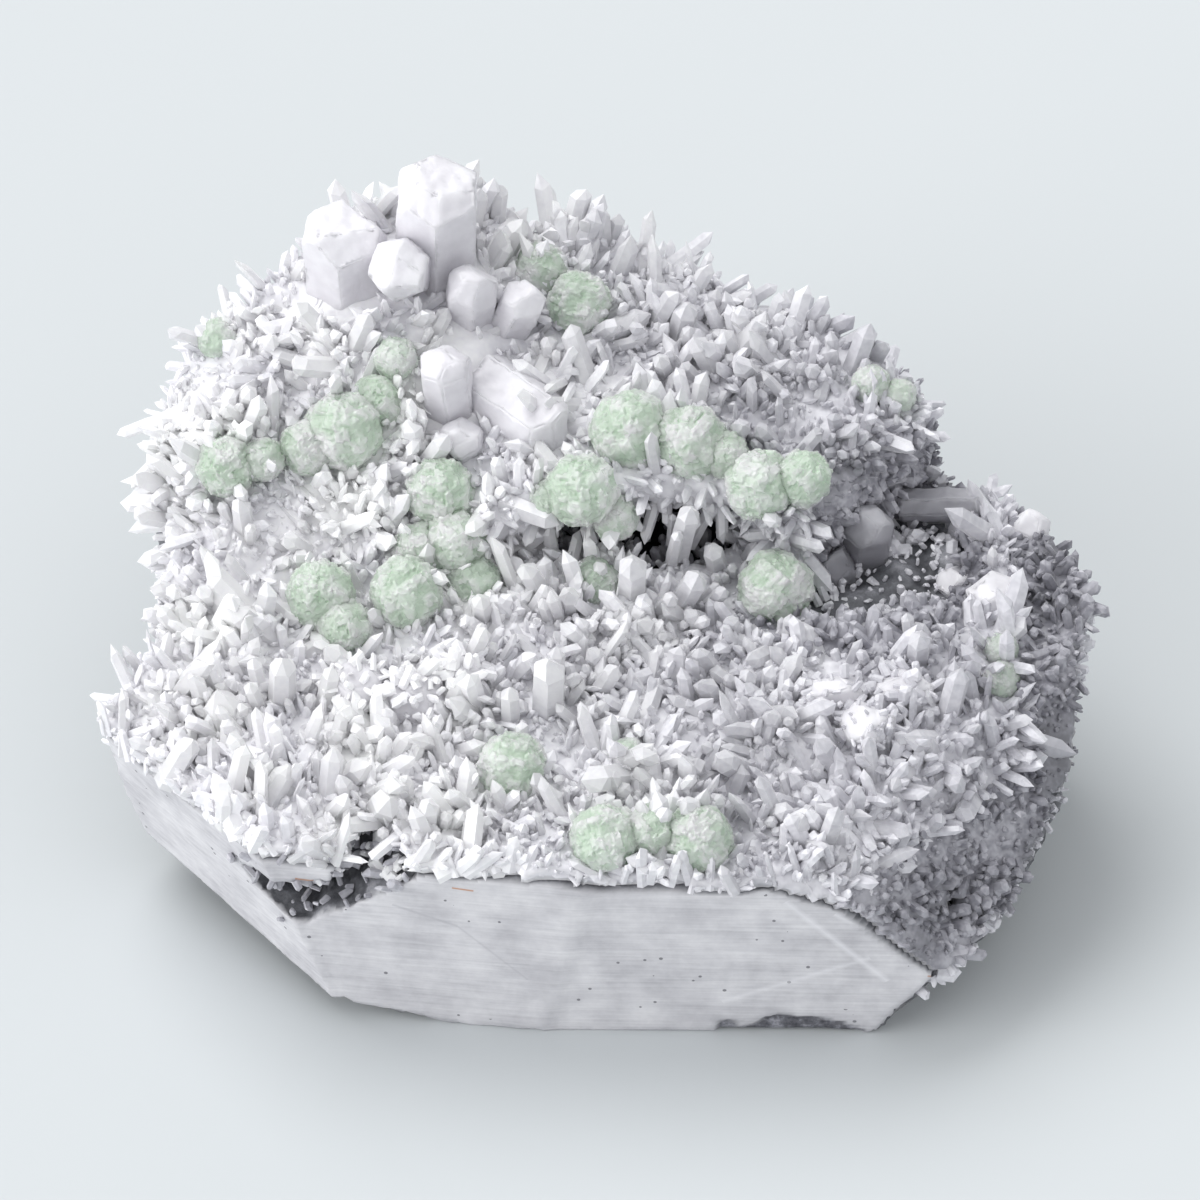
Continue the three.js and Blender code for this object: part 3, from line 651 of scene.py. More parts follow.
# %% Fluorite and calcite places
FLUORITE = {
    "rim_middle": [(5, 13.5, 62.5, 7.6), (15, 11, 62, 7.2), (21, 8.5, 61.5, 4.4)],
    "rim_left": [(-3, 2.5, 59.5, 6.8), (-8, 3, 57, 4.2), (2.5, 1.5, 54, 4.4)],
    "rim_right": [(26.5, 3, 60, 6.6), (33.5, 3, 61.5, 5.4)],
    "under_rim": [(29, -7.5, 46.5, 7.2)],
    "behind_points": [(-1, -5.5, 46, 4.6)],
    "slope_bright": [(-42.5, 15, 61, 7.4), (-48.5, 13, 59, 5.4), (-37, 20, 63, 5)],
    "slope_edge": [(-62, 10, 57.5, 5.8), (-56, 10.5, 58.5, 4.2)],
    "slope_main": [(-26.5, 6, 55.5, 6.4), (-24, -1, 50.5, 6.4), (-32, -11, 49, 6.8), (-21, -6, 46.5, 5.2),
                   (-30, -2, 50, 5)],
    "slope_lower": [(-46, -11, 48.5, 6.4), (-42, -16.5, 46.5, 5)],
    "terrace_front": [(-14.5, -45, 42.5, 6.6)],
    "front_rim": [(1, -60, 41.5, 6.6), (8.5, -59, 42.5, 5), (16, -60, 41.5, 6.4)],
    "terrace_small": [(4.5, -43, 43, 3.6)],
    "top": [(-3.5, 39.5, 67, 6.2), (-10, 45.5, 69, 5.2)],
    "by_calcite": [(-34, 25.5, 67.5, 4.2)],
    "right_shelf": [(66, -20, 44.5, 3.4), (66, -26, 43.5, 3.6)],
    "left_edge": [(-64, 33, 65, 3.8)],
    "ledge_right": [(45, 24, 63, 3.8), (50, 23, 61.5, 3.2)],
}
CALCITE = {
    "calcite_group_upper": [
        ((-27.5, 46, 62), (15.5, 18, 28.5), (0.02, -0.03, 1), 0.5),
        ((-41.5, 43, 60), (15, 14, 23), (-0.06, -0.05, 1), 0.4),
        ((-32, 44, 71), (11, 11, 17), (-0.12, -0.85, 0.75), 0.2),
        ((-22, 37, 67), (9.5, 9.5, 13), (0.1, -0.35, 1), 0.6),
        ((-15.5, 36, 65), (8, 8, 12), (0.35, -0.3, 1), 0.3)],
    "calcite_group_middle": [
        ((-24.5, 22, 56), (9.5, 9.5, 17.5), (-0.08, -0.12, 1), 0.5),
        ((-20, 25, 63), (11, 12, 18), (0.72, -0.62, -0.08), 0.2),
        ((-22.5, 17.5, 55), (8, 8, 9), (-0.1, -0.7, 1), 0.4)],
    "calcite_right_shelf": [
        ((66, -5, 38), (10, 9, 11.5), (-0.1, -0.45, 1), 0.7),
        ((61, -3, 38), (7, 7, 9), (-0.4, 0.1, 1), 0.2)],
    "calcite_under_ledge": [
        ((44, 7.5, 38), (10, 9, 15), (0.05, -0.3, 1), 0.3),
        ((41, 3, 38), (7, 7, 10), (-0.4, -0.4, 1), 0.6)],
    "calcite_back_prism": [
        ((50, 13.5, 45), (6, 6, 15), (1, -0.1, 0.12), 0.3),
        ((61, 11, 39), (7, 7, 8.5), (0.1, -0.4, 1), 0.1)],
    "calcite_back_corner": [((70, 8, 39), (7, 6, 10), (0.25, -0.1, 1), 0.5)],
    "calcite_terrace_left": [
        ((-39, -27, 38), (12, 11, 11), (-0.2, -0.3, 1), 0.3),
        ((-31, -30, 38), (11, 10, 10.5), (0.1, -0.2, 1), 0.8),
        ((-25, -26, 38), (9, 9, 11), (0.25, -0.1, 1), 0.1)],
    "calcite_terrace_right": [
        ((39, -29, 37), (13, 10, 11.5), (-0.1, -0.25, 1), 0.3),
        ((48, -28, 37), (12, 11, 10.8), (0.15, -0.3, 1), 0.6),
        ((43, -34.5, 37), (10, 9, 12.5), (0.1, -0.4, 1), 0.9)],
}
ROCK_OUTLINE = [
    (-66, -76), (-30, -76), (10, -78), (45, -78), (56, -66), (67.5, -53), (74.5, -36), (78, -19), (80, -6),
    (77, 4), (70, 12), (62, 18), (56, 27), (48, 34), (30, 43), (13, 53), (0, 59), (-13, 61), (-28, 64),
    (-42, 60), (-53, 53), (-60, 42), (-68, 36), (-73, 26), (-73, 10), (-71, -6), (-75, -19), (-82, -28),
    (-82, -40), (-77, -60)]
DRUSE_EDGE = [(x * 0.93, y * 0.93) for x, y in ROCK_OUTLINE]
BARE_SHELF = [
    (29, -12), (35, -15), (46, -14), (58, -8), (62, 2), (58, 12), (50, 14), (42, 8), (34, 1)]

fluorite_balls = [(spot(x, y, z), r * MM) for group in FLUORITE.values() for x, y, z, r in group]
calcite_axes = [
    (spot(*foot), Vector(way).normalized(), size[2] * MM, size[0] * MM)
    for group in CALCITE.values() for foot, size, way, _ in group]
print(len(fluorite_balls), "fluorite crystals and", len(calcite_axes), "calcite crystals")

# %% [markdown]
# The druse itself: thousands of small points that grow off the crust in fans. Real druses start from
# scattered seeds, and the points of one seed spread like a bouquet. A Voronoi pattern gives the seeds:
# each point leans away from the heart of its own cell. The tree is built once, and each use of it sets
# the size, the spacing and the seed of the dice. A point whose tip would stand out past a sawn face is left
# out, because the saw took it.

# %% Geometry Nodes tree of the druse
def druse_tree():
    tree = bpy.data.node_groups.new("druse", "GeometryNodeTree")
    face = tree.interface
    face.new_socket("Geometry", in_out="INPUT", socket_type="NodeSocketGeometry")
    for label, value in (("Spacing", 1.5 * MM), ("Density", 9e5), ("Thickness", 1.4 * MM), ("Length", 4 * MM),
                         ("Bouquet", 8 * MM), ("Fan", 1.0), ("Wildness", 0.4), ("Patchiness", 0.5)):
        face.new_socket(label, in_out="INPUT", socket_type="NodeSocketFloat").default_value = value
    face.new_socket("Seed", in_out="INPUT", socket_type="NodeSocketInt").default_value = 1
    face.new_socket("Crystals", in_out="INPUT", socket_type="NodeSocketCollection")
    face.new_socket("Finish", in_out="INPUT", socket_type="NodeSocketMaterial")
    face.new_socket("Geometry", in_out="OUTPUT", socket_type="NodeSocketGeometry")
    given = add(tree, "NodeGroupInput").outputs
    spread = add(tree, "GeometryNodeDistributePointsOnFaces", {
        "Mesh": given["Geometry"], "Distance Min": given["Spacing"], "Density Max": given["Density"],
        "Seed": given["Seed"]}, distribute_method="POISSON")
    here = add(tree, "GeometryNodeInputPosition").outputs[0]
    per_bouquet = add(tree, "ShaderNodeMath", {0: 1.0, 1: given["Bouquet"]}, operation="DIVIDE")
    seeds = add(tree, "ShaderNodeTexVoronoi", {"Vector": here, "Scale": per_bouquet.outputs[0]})
    from_heart = add(tree, "ShaderNodeVectorMath", {
        0: here, 1: seeds.outputs["Position"]}, operation="SUBTRACT")
    in_cells = add(tree, "ShaderNodeVectorMath", {
        0: from_heart.outputs[0], "Scale": per_bouquet.outputs[0]}, operation="SCALE")
    fanned = add(tree, "ShaderNodeVectorMath", {
        0: in_cells.outputs[0], "Scale": given["Fan"]}, operation="SCALE")
    dice = add(tree, "FunctionNodeRandomValue", {0: (-1, -1, -1), 1: (1, 1, 1), "Seed": given["Seed"]},
               data_type="FLOAT_VECTOR")
    wild = add(tree, "ShaderNodeVectorMath", {
        0: dice.outputs[0], "Scale": given["Wildness"]}, operation="SCALE")
    lean = add(tree, "ShaderNodeVectorMath", {0: fanned.outputs[0], 1: wild.outputs[0]}, operation="ADD")
    aim = add(tree, "ShaderNodeVectorMath", {
        0: lean.outputs[0], 1: spread.outputs["Normal"]}, operation="ADD")
    pointed = add(tree, "FunctionNodeAlignRotationToVector", {"Vector": aim.outputs[0]}, axis="Z")
    spin = add(tree, "FunctionNodeRandomValue", {3: 6.28, "Seed": given["Seed"]}, data_type="FLOAT")
    twist = add(tree, "FunctionNodeAxisAngleToRotation", {"Axis": (0, 0, 1), "Angle": spin.outputs[1]})
    turned = add(tree, "FunctionNodeRotateRotation", {
        "Rotation": pointed.outputs[0], "Rotate By": twist.outputs[0]}, rotation_space="LOCAL")
    patch = add(tree, "ShaderNodeTexNoise", {"Vector": here, "Scale": 75, "Detail": 1})
    off_mean = add(tree, "ShaderNodeMath", {0: patch.outputs["Fac"], 1: 0.5}, operation="SUBTRACT")
    patches = add(tree, "ShaderNodeMath", {
        0: off_mean.outputs[0], 1: given["Patchiness"], 2: 1.0}, operation="MULTIPLY_ADD")
    wider = add(tree, "FunctionNodeRandomValue", {
        2: 0.55, 3: 1.35, "Seed": given["Seed"]}, data_type="FLOAT")
    longer = add(tree, "FunctionNodeRandomValue", {
        2: 0.55, 3: 1.25, "Seed": given["Seed"]}, data_type="FLOAT")
    wide = add(tree, "ShaderNodeMath", {0: wider.outputs[1], 1: given["Thickness"]}, operation="MULTIPLY")
    width = add(tree, "ShaderNodeMath", {0: wide.outputs[0], 1: patches.outputs[0]}, operation="MULTIPLY")
    heart = add(tree, "ShaderNodeMapRange", {
        "Value": seeds.outputs["Distance"], "From Min": 0.0, "From Max": 0.8, "To Min": 1.2, "To Max": 0.7})
    tall = add(tree, "ShaderNodeMath", {0: longer.outputs[1], 1: given["Length"]}, operation="MULTIPLY")
    in_fan = add(tree, "ShaderNodeMath", {0: tall.outputs[0], 1: heart.outputs[0]}, operation="MULTIPLY")
    height = add(tree, "ShaderNodeMath", {0: in_fan.outputs[0], 1: patches.outputs[0]}, operation="MULTIPLY")
    size = add(tree, "ShaderNodeCombineXYZ", {
        "X": width.outputs[0], "Y": width.outputs[0], "Z": height.outputs[0]})
    straight = add(tree, "ShaderNodeVectorMath", {0: aim.outputs[0]}, operation="NORMALIZE")
    reach = add(tree, "ShaderNodeVectorMath", {
        0: straight.outputs[0], "Scale": height.outputs[0]}, operation="SCALE")
    tip = add(tree, "ShaderNodeVectorMath", {0: here, 1: reach.outputs[0]}, operation="ADD").outputs[0]
    allowed = None
    for place, facing in SAWN_FACES[:3]:
        facing = Vector(facing).normalized()
        beyond = add(tree, "ShaderNodeVectorMath", {0: tip, 1: tuple(facing)}, operation="DOT_PRODUCT")
        limit = facing.dot(spot(*place)) + 1.2 * MM
        within = add(tree, "ShaderNodeMath", {0: beyond.outputs["Value"], 1: limit}, operation="LESS_THAN")
        allowed = within if allowed is None else add(tree, "ShaderNodeMath", {
            0: allowed.outputs[0], 1: within.outputs[0]}, operation="MULTIPLY")
    shapes = add(tree, "GeometryNodeCollectionInfo", {
        "Collection": given["Crystals"], "Separate Children": True, "Reset Children": True})
    kind = add(tree, "FunctionNodeRandomValue", {4: 0, 5: 6, "Seed": given["Seed"]}, data_type="INT")
    grown_points = add(tree, "GeometryNodeInstanceOnPoints", {
        "Points": spread.outputs["Points"], "Selection": allowed.outputs[0],
        "Instance": shapes.outputs[0], "Pick Instance": True,
        "Instance Index": kind.outputs[2], "Rotation": turned.outputs[0], "Scale": size.outputs[0]})
    real = add(tree, "GeometryNodeRealizeInstances", {"Geometry": grown_points.outputs[0]})
    finished = add(tree, "GeometryNodeSetMaterial", {
        "Geometry": real.outputs[0], "Material": given["Finish"]})
    add(tree, "NodeGroupOutput", {"Geometry": finished.outputs[0]})
    return tree


DRUSE = druse_tree()
SOCKET = {item.name: item.identifier for item in DRUSE.interface.items_tree if item.in_out == "INPUT"}
print("druse tree has", len(DRUSE.nodes), "nodes")

# %% [markdown]
# The points stand on the crust, but not under the fluorite and calcite crystals, which took their room.
# The finest ones fill the ground, and the next ones stand out between them. On the steep sides, in the
# shade at the right, on the bare shelf, in the hollows and under the druse's edge the growth stayed short,
# so each of these has its own ground and its own sizes.

# %% Grow the druse
def clear_of_crystals(centre):
    for ball, radius in fluorite_balls:
        if (centre - ball).length < radius * 0.9:
            return False
    for foot, way, length, width in calcite_axes:
        along = min(max((centre - foot).dot(way), -0.3 * length), length)
        if (foot + way * along - centre).length < width * 0.56:
            return False
    return True


def grow_points(name, ground, finish, **settings):
    piece = new_piece(name, ground.data.copy())
    modifier = piece.modifiers.new("druse", "NODES")
    modifier.node_group = DRUSE
    settings.update({"Crystals": crystals, "Finish": finish})
    for label, value in settings.items():
        modifier[SOCKET[label]] = value
    piece = applied(piece)
    low = min(v.co.z for v in piece.data.vertices)
    print(name, "lowest point", round(low / MM, 2), "mm")
    return piece


def at_the_side(polygon):
    """The steep outer sides, where the points stayed short, and the mouth of the recess."""
    x, y, z = (v / MM for v in polygon.center)
    mouth = 8 < x < 25 and -7 < y < 12 and z < 54
    return mouth or (polygon.normal.z < 0.55 and not inside(DRUSE_EDGE, x - MOVED.x, y - MOVED.y))


def in_full_growth(polygon):
    return clear_of_crystals(polygon.center) and not in_the_shade(polygon) and not at_the_side(polygon)


def in_short_growth(polygon):
    return clear_of_crystals(polygon.center) and not in_the_shade(polygon) and at_the_side(polygon)


def on_bare_shelf(polygon):
    x, y, z = (v / MM for v in polygon.center)
    return inside(BARE_SHELF, x - MOVED.x, y - MOVED.y) and z < 46 and polygon.normal.z > 0.4


def under_the_edge(polygon):
    """Patches of broken rock within about a centimetre of the druse, where single grains of sugar sit."""
    nearest = min(reach[i] for i in polygon.vertices)
    sawn_here = max(sawn[i] for i in polygon.vertices)
    patch = noise.fractal(polygon.center / (9 * MM), 0.9, 2.0, 2)
    return sawn_here < 0.1 and 0.6 < nearest < 5 + 7 * patch


def in_a_hollow(polygon):
    """The recess under the ledge, or the gully at the front left corner."""
    x, y, z = (v / MM for v in polygon.center)
    gully = -60 < x < -27 and y < -49 and 21 < z < 42 and polygon.normal.y > -0.9
    return in_recess(x, y, z, 55) or gully


ground = grown_sheet("ground", CRUST_DEPTH * 0.6, in_full_growth)
side_ground = grown_sheet("side_ground", CRUST_DEPTH * 0.6, in_short_growth)
shade_ground = grown_sheet("shade_ground", CRUST_DEPTH * 0.8, in_the_shade)
shelf_ground = grown_sheet("shelf_ground", -0.0002, on_bare_shelf, least=0)
hollow_ground = grown_sheet("hollow_ground", 0.0002, in_a_hollow, least=0)
edge_ground = grown_sheet("edge_ground", 0.0, under_the_edge, least=0)
GROWTHS = {
    "quartz_points_fine": (ground, milky_quartz, {
        "Spacing": 1.08 * MM, "Density": 3e6, "Thickness": 1.5 * MM, "Length": 4.2 * MM, "Bouquet": 7 * MM,
        "Fan": 0.9, "Wildness": 0.9, "Patchiness": 1.8, "Seed": 3}),
    "quartz_points_slim": (ground, milky_quartz, {
        "Spacing": 2.05 * MM, "Density": 2e6, "Thickness": 2.2 * MM, "Length": 7.2 * MM, "Bouquet": 12 * MM,
        "Fan": 1.2, "Wildness": 1.0, "Patchiness": 2.2, "Seed": 5}),
    "quartz_points_middle": (ground, large_quartz, {
        "Spacing": 4.4 * MM, "Density": 1e6, "Thickness": 3.1 * MM, "Length": 9.6 * MM, "Bouquet": 16 * MM,
        "Fan": 1.1, "Wildness": 0.9, "Patchiness": 1.6, "Seed": 8}),
    "quartz_points_side": (side_ground, milky_quartz, {
        "Spacing": 1.15 * MM, "Density": 3e6, "Thickness": 1.6 * MM, "Length": 3.2 * MM, "Bouquet": 7 * MM,
        "Fan": 0.7, "Wildness": 0.8, "Patchiness": 1.8, "Seed": 7}),
    "quartz_sugar_shade": (shade_ground, dark_quartz_with_painted_shade, {
        "Spacing": 1.05 * MM, "Density": 3e6, "Thickness": 1.4 * MM, "Length": 2.8 * MM, "Bouquet": 6 * MM,
        "Fan": 0.8, "Wildness": 0.9, "Patchiness": 2.4, "Seed": 11}),
    "quartz_grains_shelf": (shelf_ground, milky_quartz, {
        "Spacing": 1.9 * MM, "Density": 1e6, "Thickness": 1.1 * MM, "Length": 1.3 * MM, "Bouquet": 5 * MM,
        "Fan": 0.8, "Wildness": 0.9, "Patchiness": 3.0, "Seed": 17}),
    # The sugar in the recess and the gully takes the darker quartz: painted shade in these hollows, with dark
    # rock under it.
    "quartz_sugar_hollows": (hollow_ground, dark_quartz_with_painted_shade, {
        "Spacing": 2.1 * MM, "Density": 1e6, "Thickness": 1.7 * MM, "Length": 3.0 * MM, "Bouquet": 6 * MM,
        "Fan": 0.8, "Wildness": 0.8, "Patchiness": 2.0, "Seed": 19}),
    "quartz_sugar_edge": (edge_ground, milky_quartz, {
        "Spacing": 1.3 * MM, "Density": 1e6, "Thickness": 1.5 * MM, "Length": 2.4 * MM, "Bouquet": 6 * MM,
        "Fan": 0.8, "Wildness": 0.8, "Patchiness": 2.4, "Seed": 29}),
}
for name, (bed, finish, settings) in GROWTHS.items():
    put_in_place(grow_points(name, bed, finish, **settings), finish, "quartz", "quartz_druse")

# %% [markdown]
# The larger points stand out one by one, so each has its own place. The drawing chooses 22 of them from the
# photo and scatters the rest in a loose grid. The same dice give the same places here.

# %% Places of the larger points
CHOSEN_POINTS = [
    ((-8.7, -31, 37), (0.02, -0.1, 1), 6.4, 19), ((-52.5, -29, 37), (0.05, -0.1, 1), 5, 17),
    ((-60, -33, 36), (-0.2, 0, 1), 7, 13), ((-3, 34, 62.5), (0.85, 0.25, 0.3), 4.4, 13),
    ((13, 1, 46), (0.15, -0.2, 1), 4.2, 14), ((5, -7, 40), (0.02, -0.3, 1), 5.4, 19),
    ((12, -8, 40), (0.3, -0.3, 1), 4.6, 16), ((-9, -6, 42), (-0.3, -0.3, 1), 4, 13),
    ((-5, -9, 40), (0, -0.4, 1), 4, 13), ((-18, 58, 62), (0.1, 0.1, 1), 3.2, 14),
    ((-5, 56, 61), (-0.2, 0.1, 1), 3.2, 12), ((1, 55, 60), (0.2, 0.15, 1), 3, 12),
    ((13, 37, 60), (0.15, -0.2, 1), 4.6, 12), ((20, 29, 59), (-0.4, -0.1, 1), 4, 12),
    ((-38, -23, 39), (-0.6, -0.2, 1), 4, 14), ((-17, -24, 39), (0.6, -0.2, 1), 3.8, 13),
    ((-23, -22, 39), (0.3, -0.1, 1), 3.6, 15), ((52, -38, 33), (0.2, -0.2, 1), 4.6, 12),
    ((57, -37, 32), (-0.3, -0.1, 1), 3.6, 12), ((-42, -44, 37), (0.5, -0.4, 1), 5, 11),
    ((-36, -50, 36), (0.2, -0.5, 1), 6, 12), ((30, -56, 36), (0.3, -0.3, 1), 4, 11)]


def drawing_dice(seed):
    state = [seed]

    def times(a, b):
        return (a * b) & 0xFFFFFFFF

    def roll():
        state[0] = (state[0] + 0x6D2B79F5) & 0xFFFFFFFF
        t = times(state[0] ^ (state[0] >> 15), 1 | state[0])
        t = ((t + times(t ^ (t >> 7), 61 | t)) & 0xFFFFFFFF) ^ t
        return ((t ^ (t >> 14)) & 0xFFFFFFFF) / 4294967296
    return roll


def rock_height(x, y):
    hit = rock_near.ray_cast(spot(x, y, 140), Vector((0, 0, -1)))[0]
    return hit.z / MM if hit else None


def scattered_points():
    keep_off = [(x, y, 0.9 * r) for group in FLUORITE.values() for x, y, _, r in group]
    keep_off += [(f[0], f[1], 0.6 * s[0]) for group in CALCITE.values() for f, s, _, _ in group]
    keep_off += [(p[0], p[1], t) for p, _, t, _ in CHOSEN_POINTS]
    roll = drawing_dice(77)
    found = []
    x = -85
    while x < 91:
        y = -78
        while y < 76:
            px, py = x + (roll() - 0.5) * 11.7, y + (roll() - 0.5) * 11.7
            lean = ((roll() - 0.5) * 1.3, (roll() - 0.5) * 1.3 - 0.15, 1)
            size, _ = roll(), roll()
            free = all(math.hypot(kx - px, ky - py) >= r for kx, ky, r in keep_off)
            on_top = inside(DRUSE_EDGE, px, py) and past_corner_break(px, py) <= 0
            if on_top and not inside(SHELF_EDGE, px, py) and free and px < 60:
                z = rock_height(px, py)
                if z:
                    found.append(((px, py, z - 0.5), lean, 2.4 + 2 * size, 8 + 5 * size))
            y += 13
        x += 13
    return found


large = CHOSEN_POINTS + scattered_points()
print(len(large), "larger points")

# %% [markdown]
# Each larger point is cut like the small ones, with its own dice, and has a few lesser points crowded
# around its foot.

# %% Cut the larger points
def stood(bm, faces, place, direction):
    turn = Vector((0, 0, 1)).rotation_difference(Vector(direction).normalized())
    matrix = Matrix.Translation(place) @ turn.to_matrix().to_4x4()
    corners = dict.fromkeys(v for f in faces if f.is_valid for v in f.verts)
    bmesh.ops.transform(bm, matrix=matrix, verts=list(corners))


dice = random.Random(12)
bm = bmesh.new()
for place, direction, thickness, length in large:
    whole = quartz_point(bm, dice, thickness * MM, length * MM, 0.9)
    stood(bm, whole, spot(*place), direction)
    for _ in range(4):
        around = dice.uniform(0, 2 * math.pi)
        step = Vector((math.cos(around), math.sin(around), 0)) * thickness * dice.uniform(0.5, 0.8)
        lean = Vector(direction) + step * dice.uniform(0.02, 0.14)
        share = dice.uniform(0.35, 0.62)
        part = quartz_point(bm, dice, thickness * share * MM, length * share * MM * 1.3, 0.88)
        stood(bm, part, spot(*place) + step * MM, lean)
bmesh.ops.recalc_face_normals(bm, faces=bm.faces)
mesh = bpy.data.meshes.new("quartz_points_large")
bm.to_mesh(mesh)
bm.free()
put_in_place(new_piece("quartz_points_large", mesh), large_quartz, "quartz", "quartz_druse")

# %% [markdown]
# Fluorite grows as cubes. These cubes are so crowded with tiny, slightly turned cubes on every edge that
# the whole looks like a ball rolled in sugar. The ball is a cube with broad bevels, and its skin steps in
# and out by a random amount in each small cube of its own lattice.

# %% Fluorite crystals
FACES_OF_BALL = [(v, 0.85) for v in ((1, 0, 0), (0, 1, 0), (0, 0, 1))]
FACES_OF_BALL += [(v, 0.875) for v in ((1, 1, 0), (1, -1, 0), (1, 0, 1), (1, 0, -1), (0, 1, 1), (0, 1, -1))]
FACES_OF_BALL += [(v, 0.93) for v in ((1, 1, 1), (1, 1, -1), (1, -1, 1), (1, -1, -1))]
FACES_OF_BALL = [(Vector(v).normalized(), d) for v, d in FACES_OF_BALL]


def ball_reach(way):
    """Distance from the centre to the softly bevelled skin, for a crystal of radius 1."""
    total = sum((abs(way.dot(facing)) / far) ** 22 for facing, far in FACES_OF_BALL)
    return total ** (-1 / 22)


def sugared(point, radius, lattice):
    """How far the skin stands out at a point, in metres."""
    own = lattice @ point
    steps = 0.3 * noise.cell(own / (2.3 * MM)) + 0.22 * noise.cell(own / (0.9 * MM) + Vector((7, 3, 5)))
    return (steps - 0.26) * MM * min(1.0, radius / (6 * MM))


def fluorite_ball(bm, centre, radius, seed):
    dice = random.Random(seed)
    proud = bm.verts.layers.float["proud"]
    axis = Vector((dice.random(), dice.random(), dice.random())).normalized()
    lattice = Quaternion(axis, dice.uniform(0, 3))
    made = bmesh.ops.create_icosphere(bm, subdivisions=5 if radius > 4 * MM else 4, radius=1.0)["verts"]
    for vertex in made:
        way = vertex.co.normalized()
        skin = way * ball_reach(lattice @ way) * radius
        out = sugared(skin, radius, lattice)
        vertex[proud] = out / MM
        vertex.co = centre + skin + way * out


fluorite_pieces = []
for group, balls in FLUORITE.items():
    bm = bmesh.new()
    bm.verts.layers.float.new("proud")
    for number, (x, y, z, radius) in enumerate(balls):
        fluorite_ball(bm, spot(x, y, z), radius * MM, number + len(fluorite_pieces) * 10)
    mesh = bpy.data.meshes.new("green_" + group)
    bm.to_mesh(mesh)
    bm.free()
    fluorite_pieces.append((new_piece("green_" + group, mesh), "fluorite_" + group))
print(len(fluorite_pieces), "fluorite groups")

# %% [markdown]
# Fluorite has a low IOR, 1.434, so it looks softer than quartz. Inside it is pale green, which plain
# absorption gives: the deeper the light goes, the greener it comes out. The skin is frosted by its tiny
# steps. Cubes that stand proud are nearly white, and the pits between them show the green inside.

# %% Fluorite material
sugar_fluorite, tree = start_material("sugary_green_fluorite")
where = add(tree, "ShaderNodeTexCoord").outputs["Object"]
patches = add(tree, "ShaderNodeTexNoise", {"Vector": where, "Scale": 150, "Detail": 3, "Roughness": 0.6})
stands = add(tree, "ShaderNodeAttribute", attribute_name="proud").outputs["Fac"]
shown = add(tree, "ShaderNodeMath", {0: stands, 1: 0.35, 2: patches.outputs["Fac"]}, operation="MULTIPLY_ADD")
green = ramp_of(tree, shown.outputs[0], [(0.3, "D8EAD6"), (0.47, "EEF7ED"), (0.62, "FEFFFE")])
tiny_steps = add(tree, "ShaderNodeTexVoronoi", {"Vector": where, "Scale": 1300}, distance="CHEBYCHEV")
bump = add(tree, "ShaderNodeBump", {
    "Height": tiny_steps.outputs["Distance"], "Strength": 0.4, "Distance": 0.0004})
shader = add(tree, "ShaderNodeBsdfPrincipled", {
    "Base Color": green, "Roughness": 0.15, "IOR": 1.434, "Transmission Weight": 0.45,
    "Subsurface Weight": 0.3, "Subsurface Radius": (0.8, 1.0, 0.8), "Subsurface Scale": 0.004,
    "Sheen Weight": 0.25, "Sheen Roughness": 0.4, "Normal": bump.outputs["Normal"]})
inner = add(tree, "ShaderNodeVolumeAbsorption", {"Color": hex_colour("CDEBCE"), "Density": 8.0})
add(tree, "ShaderNodeOutputMaterial", {"Surface": shader.outputs["BSDF"], "Volume": inner.outputs["Volume"]})
for piece, node in fluorite_pieces:
    put_in_place(piece, sugar_fluorite, "fluorite", node)

# %% [markdown]
# Calcite makes blunt, stout prisms with low ends. They are milky, with soft edges and a faint grain along
# their length. Each is cut like the quartz, then bevelled, then given an even mesh and a little noise.

# %% Calcite crystals
def calcite_block(bm, foot, size, direction, turn, seed):
    dice = random.Random(seed)
    width, depth, length = (v * MM for v in size)
    corners = []
    for i in range(6):
        angle = turn + i * math.pi / 3 + dice.uniform(-0.1, 0.1)
        corners.append((0.5 * width * math.cos(angle), 0.5 * depth * math.sin(angle)))
    planes = [(Vector((0, 0, length)), Vector((dice.uniform(-0.14, 0.14), dice.uniform(-0.14, 0.14), 1)))]
    for i in range(5):
        angle = turn + math.pi / 6 + i * math.pi / 3 + dice.uniform(-0.2, 0.2)
        facing = Vector((math.cos(angle), math.sin(angle), dice.uniform(0.5, 1.4))).normalized()
        edge = Vector((math.cos(angle) * width * 0.43, math.sin(angle) * depth * 0.43, length))
        planes.append((edge - facing * dice.uniform(0.8, 2.6) * MM, facing))
    block = cut_crystal(bm, corners, length, 0.97, planes)
    stood(bm, block, spot(*foot), direction)


def softened(bm):
    bmesh.ops.recalc_face_normals(bm, faces=bm.faces)
    bmesh.ops.remove_doubles(bm, verts=bm.verts, dist=0.25 * MM)
    bmesh.ops.bevel(bm, geom=list(bm.edges), offset=0.35 * MM, segments=2, affect="EDGES", clamp_overlap=True)
    bmesh.ops.triangulate(bm, faces=list(bm.faces))
    for _ in range(5):
        long_edges = [e for e in bm.edges if e.calc_length() > 1.0 * MM]
        if not long_edges:
            break
        bmesh.ops.subdivide_edges(bm, edges=long_edges, cuts=1)
        bmesh.ops.triangulate(bm, faces=list(bm.faces))
    bm.normal_update()
    for vertex in bm.verts:
        swell = noise.fractal(vertex.co / (4 * MM), 0.9, 2.0, 3)
        pits = noise.fractal(vertex.co / (1.8 * MM), 0.9, 2.0, 2) * abs(vertex.normal.z)
        vertex.co += vertex.normal * (swell * 0.25 + pits * 0.3) * MM


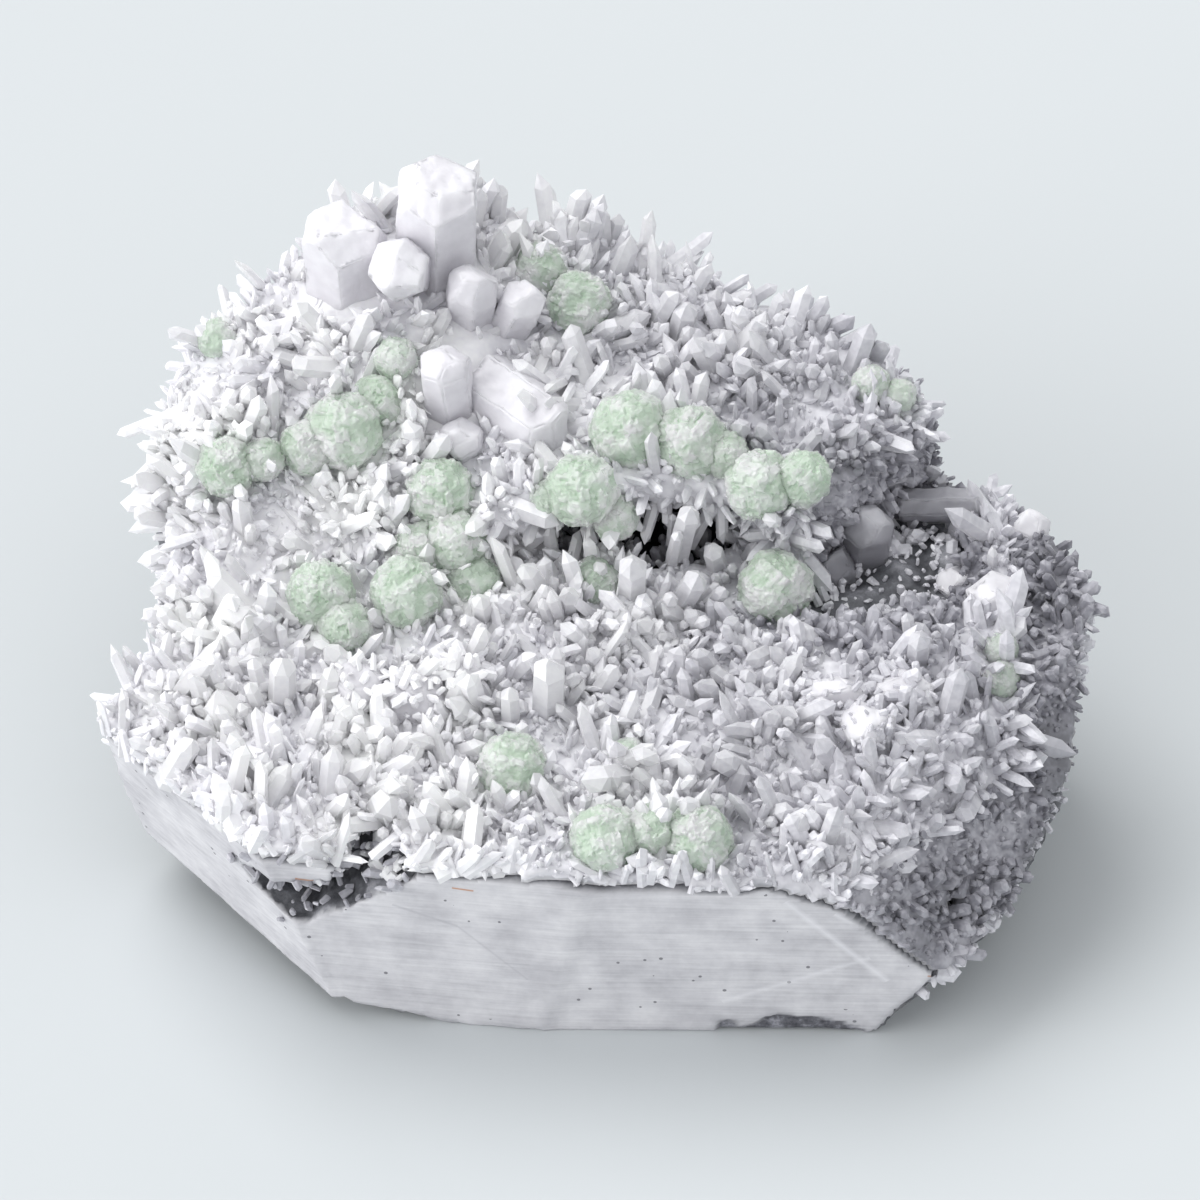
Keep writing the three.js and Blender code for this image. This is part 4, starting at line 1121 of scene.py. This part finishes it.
calcite_pieces = []
for node, blocks in CALCITE.items():
    bm = bmesh.new()
    for number, (foot, size, direction, turn) in enumerate(blocks):
        calcite_block(bm, foot, size, direction, turn, number + 31 * len(calcite_pieces))
    softened(bm)
    name = node.replace("calcite", "white")
    mesh = bpy.data.meshes.new(name)
    bm.to_mesh(mesh)
    bm.free()
    mesh.shade_smooth()
    calcite_pieces.append((new_piece(name, mesh), node))
print(len(calcite_pieces), "calcite groups")

# %% [markdown]
# Milky calcite: an IOR of 1.6, a body that is nearly white with a breath of pink, and a soft waxy gloss.
# A little light goes through at the edges. Faint lines run along the crystals, about 1 mm apart. The mass
# under the ledge and the prism behind it are clearer and grey: partly dark rock seen through them, partly
# painted shade under the ledge.

# %% Calcite material
def calcite_material(name, body, clear):
    material, tree = start_material(name)
    where = add(tree, "ShaderNodeTexCoord").outputs["Object"]
    veil = add(tree, "ShaderNodeTexNoise", {"Vector": where, "Scale": 90, "Detail": 4, "Roughness": 0.6})
    pale = ramp_of(tree, veil.outputs["Fac"], list(zip((0.35, 0.5, 0.65), body)))
    lines = add(tree, "ShaderNodeMapping", {"Vector": where, "Scale": (1, 1, 0.12)})
    growth = add(tree, "ShaderNodeTexNoise", {"Vector": lines.outputs["Vector"], "Scale": 900, "Detail": 3})
    bump = add(tree, "ShaderNodeBump", {
        "Height": growth.outputs["Fac"], "Strength": 0.25, "Distance": 0.0003})
    shader = add(tree, "ShaderNodeBsdfPrincipled", {
        "Base Color": pale, "Roughness": 0.45, "IOR": 1.6, "Transmission Weight": clear,
        "Subsurface Weight": 0.3, "Subsurface Radius": (1.0, 1.0, 1.0), "Subsurface Scale": 0.004,
        "Normal": bump.outputs["Normal"]})
    add(tree, "ShaderNodeOutputMaterial", {"Surface": shader.outputs["BSDF"]})
    return material


milky_calcite = calcite_material("milky_calcite", ("DEDCE1", "E9E7EC", "F4F3F7"), 0.15)
grey_calcite_with_painted_shade = calcite_material("translucent_calcite_greyed_by_painted_shade", ("A5A4AB", "BAB9C0", "D2D1D7"), 0.35)
for piece, node in calcite_pieces:
    # The two masses by the ledge take the grey calcite: partly clearer calcite over dark rock, partly painted
    # shade under the ledge.
    finish = grey_calcite_with_painted_shade if node in ("calcite_under_ledge", "calcite_back_prism") else milky_calcite
    put_in_place(piece, finish, "calcite", node)

# %% [markdown]
# Later quartz settled on the calcite of the terrace, and its sugar half hides those crystals. The same tree
# grows it, this time on the calcite's own surface.

# %% Sugar on the terrace's calcite
for piece, node in calcite_pieces:
    if "terrace" in node:
        name = "quartz_sugar_on_" + node.split("_", 1)[1]
        sugar = grow_points(name, piece, milky_quartz, **{
            "Spacing": 1.5 * MM, "Density": 2e6, "Thickness": 1.5 * MM, "Length": 2.6 * MM, "Bouquet": 5 * MM,
            "Fan": 0.8, "Wildness": 1.0, "Patchiness": 2.0, "Seed": 23})
        put_in_place(sugar, milky_quartz, "quartz", "quartz_druse")

# %% [markdown]
# The helpers that only served the making go away: the druse solid's copy, the bare ground and the single
# small points.

# %% Clear up and finish
beds = [ground, side_ground, shade_ground, shelf_ground, hollow_ground, edge_ground]
for helper in [druse_solid, *beds, *crystals.objects]:
    bpy.data.objects.remove(helper)
bpy.data.collections.remove(crystals)
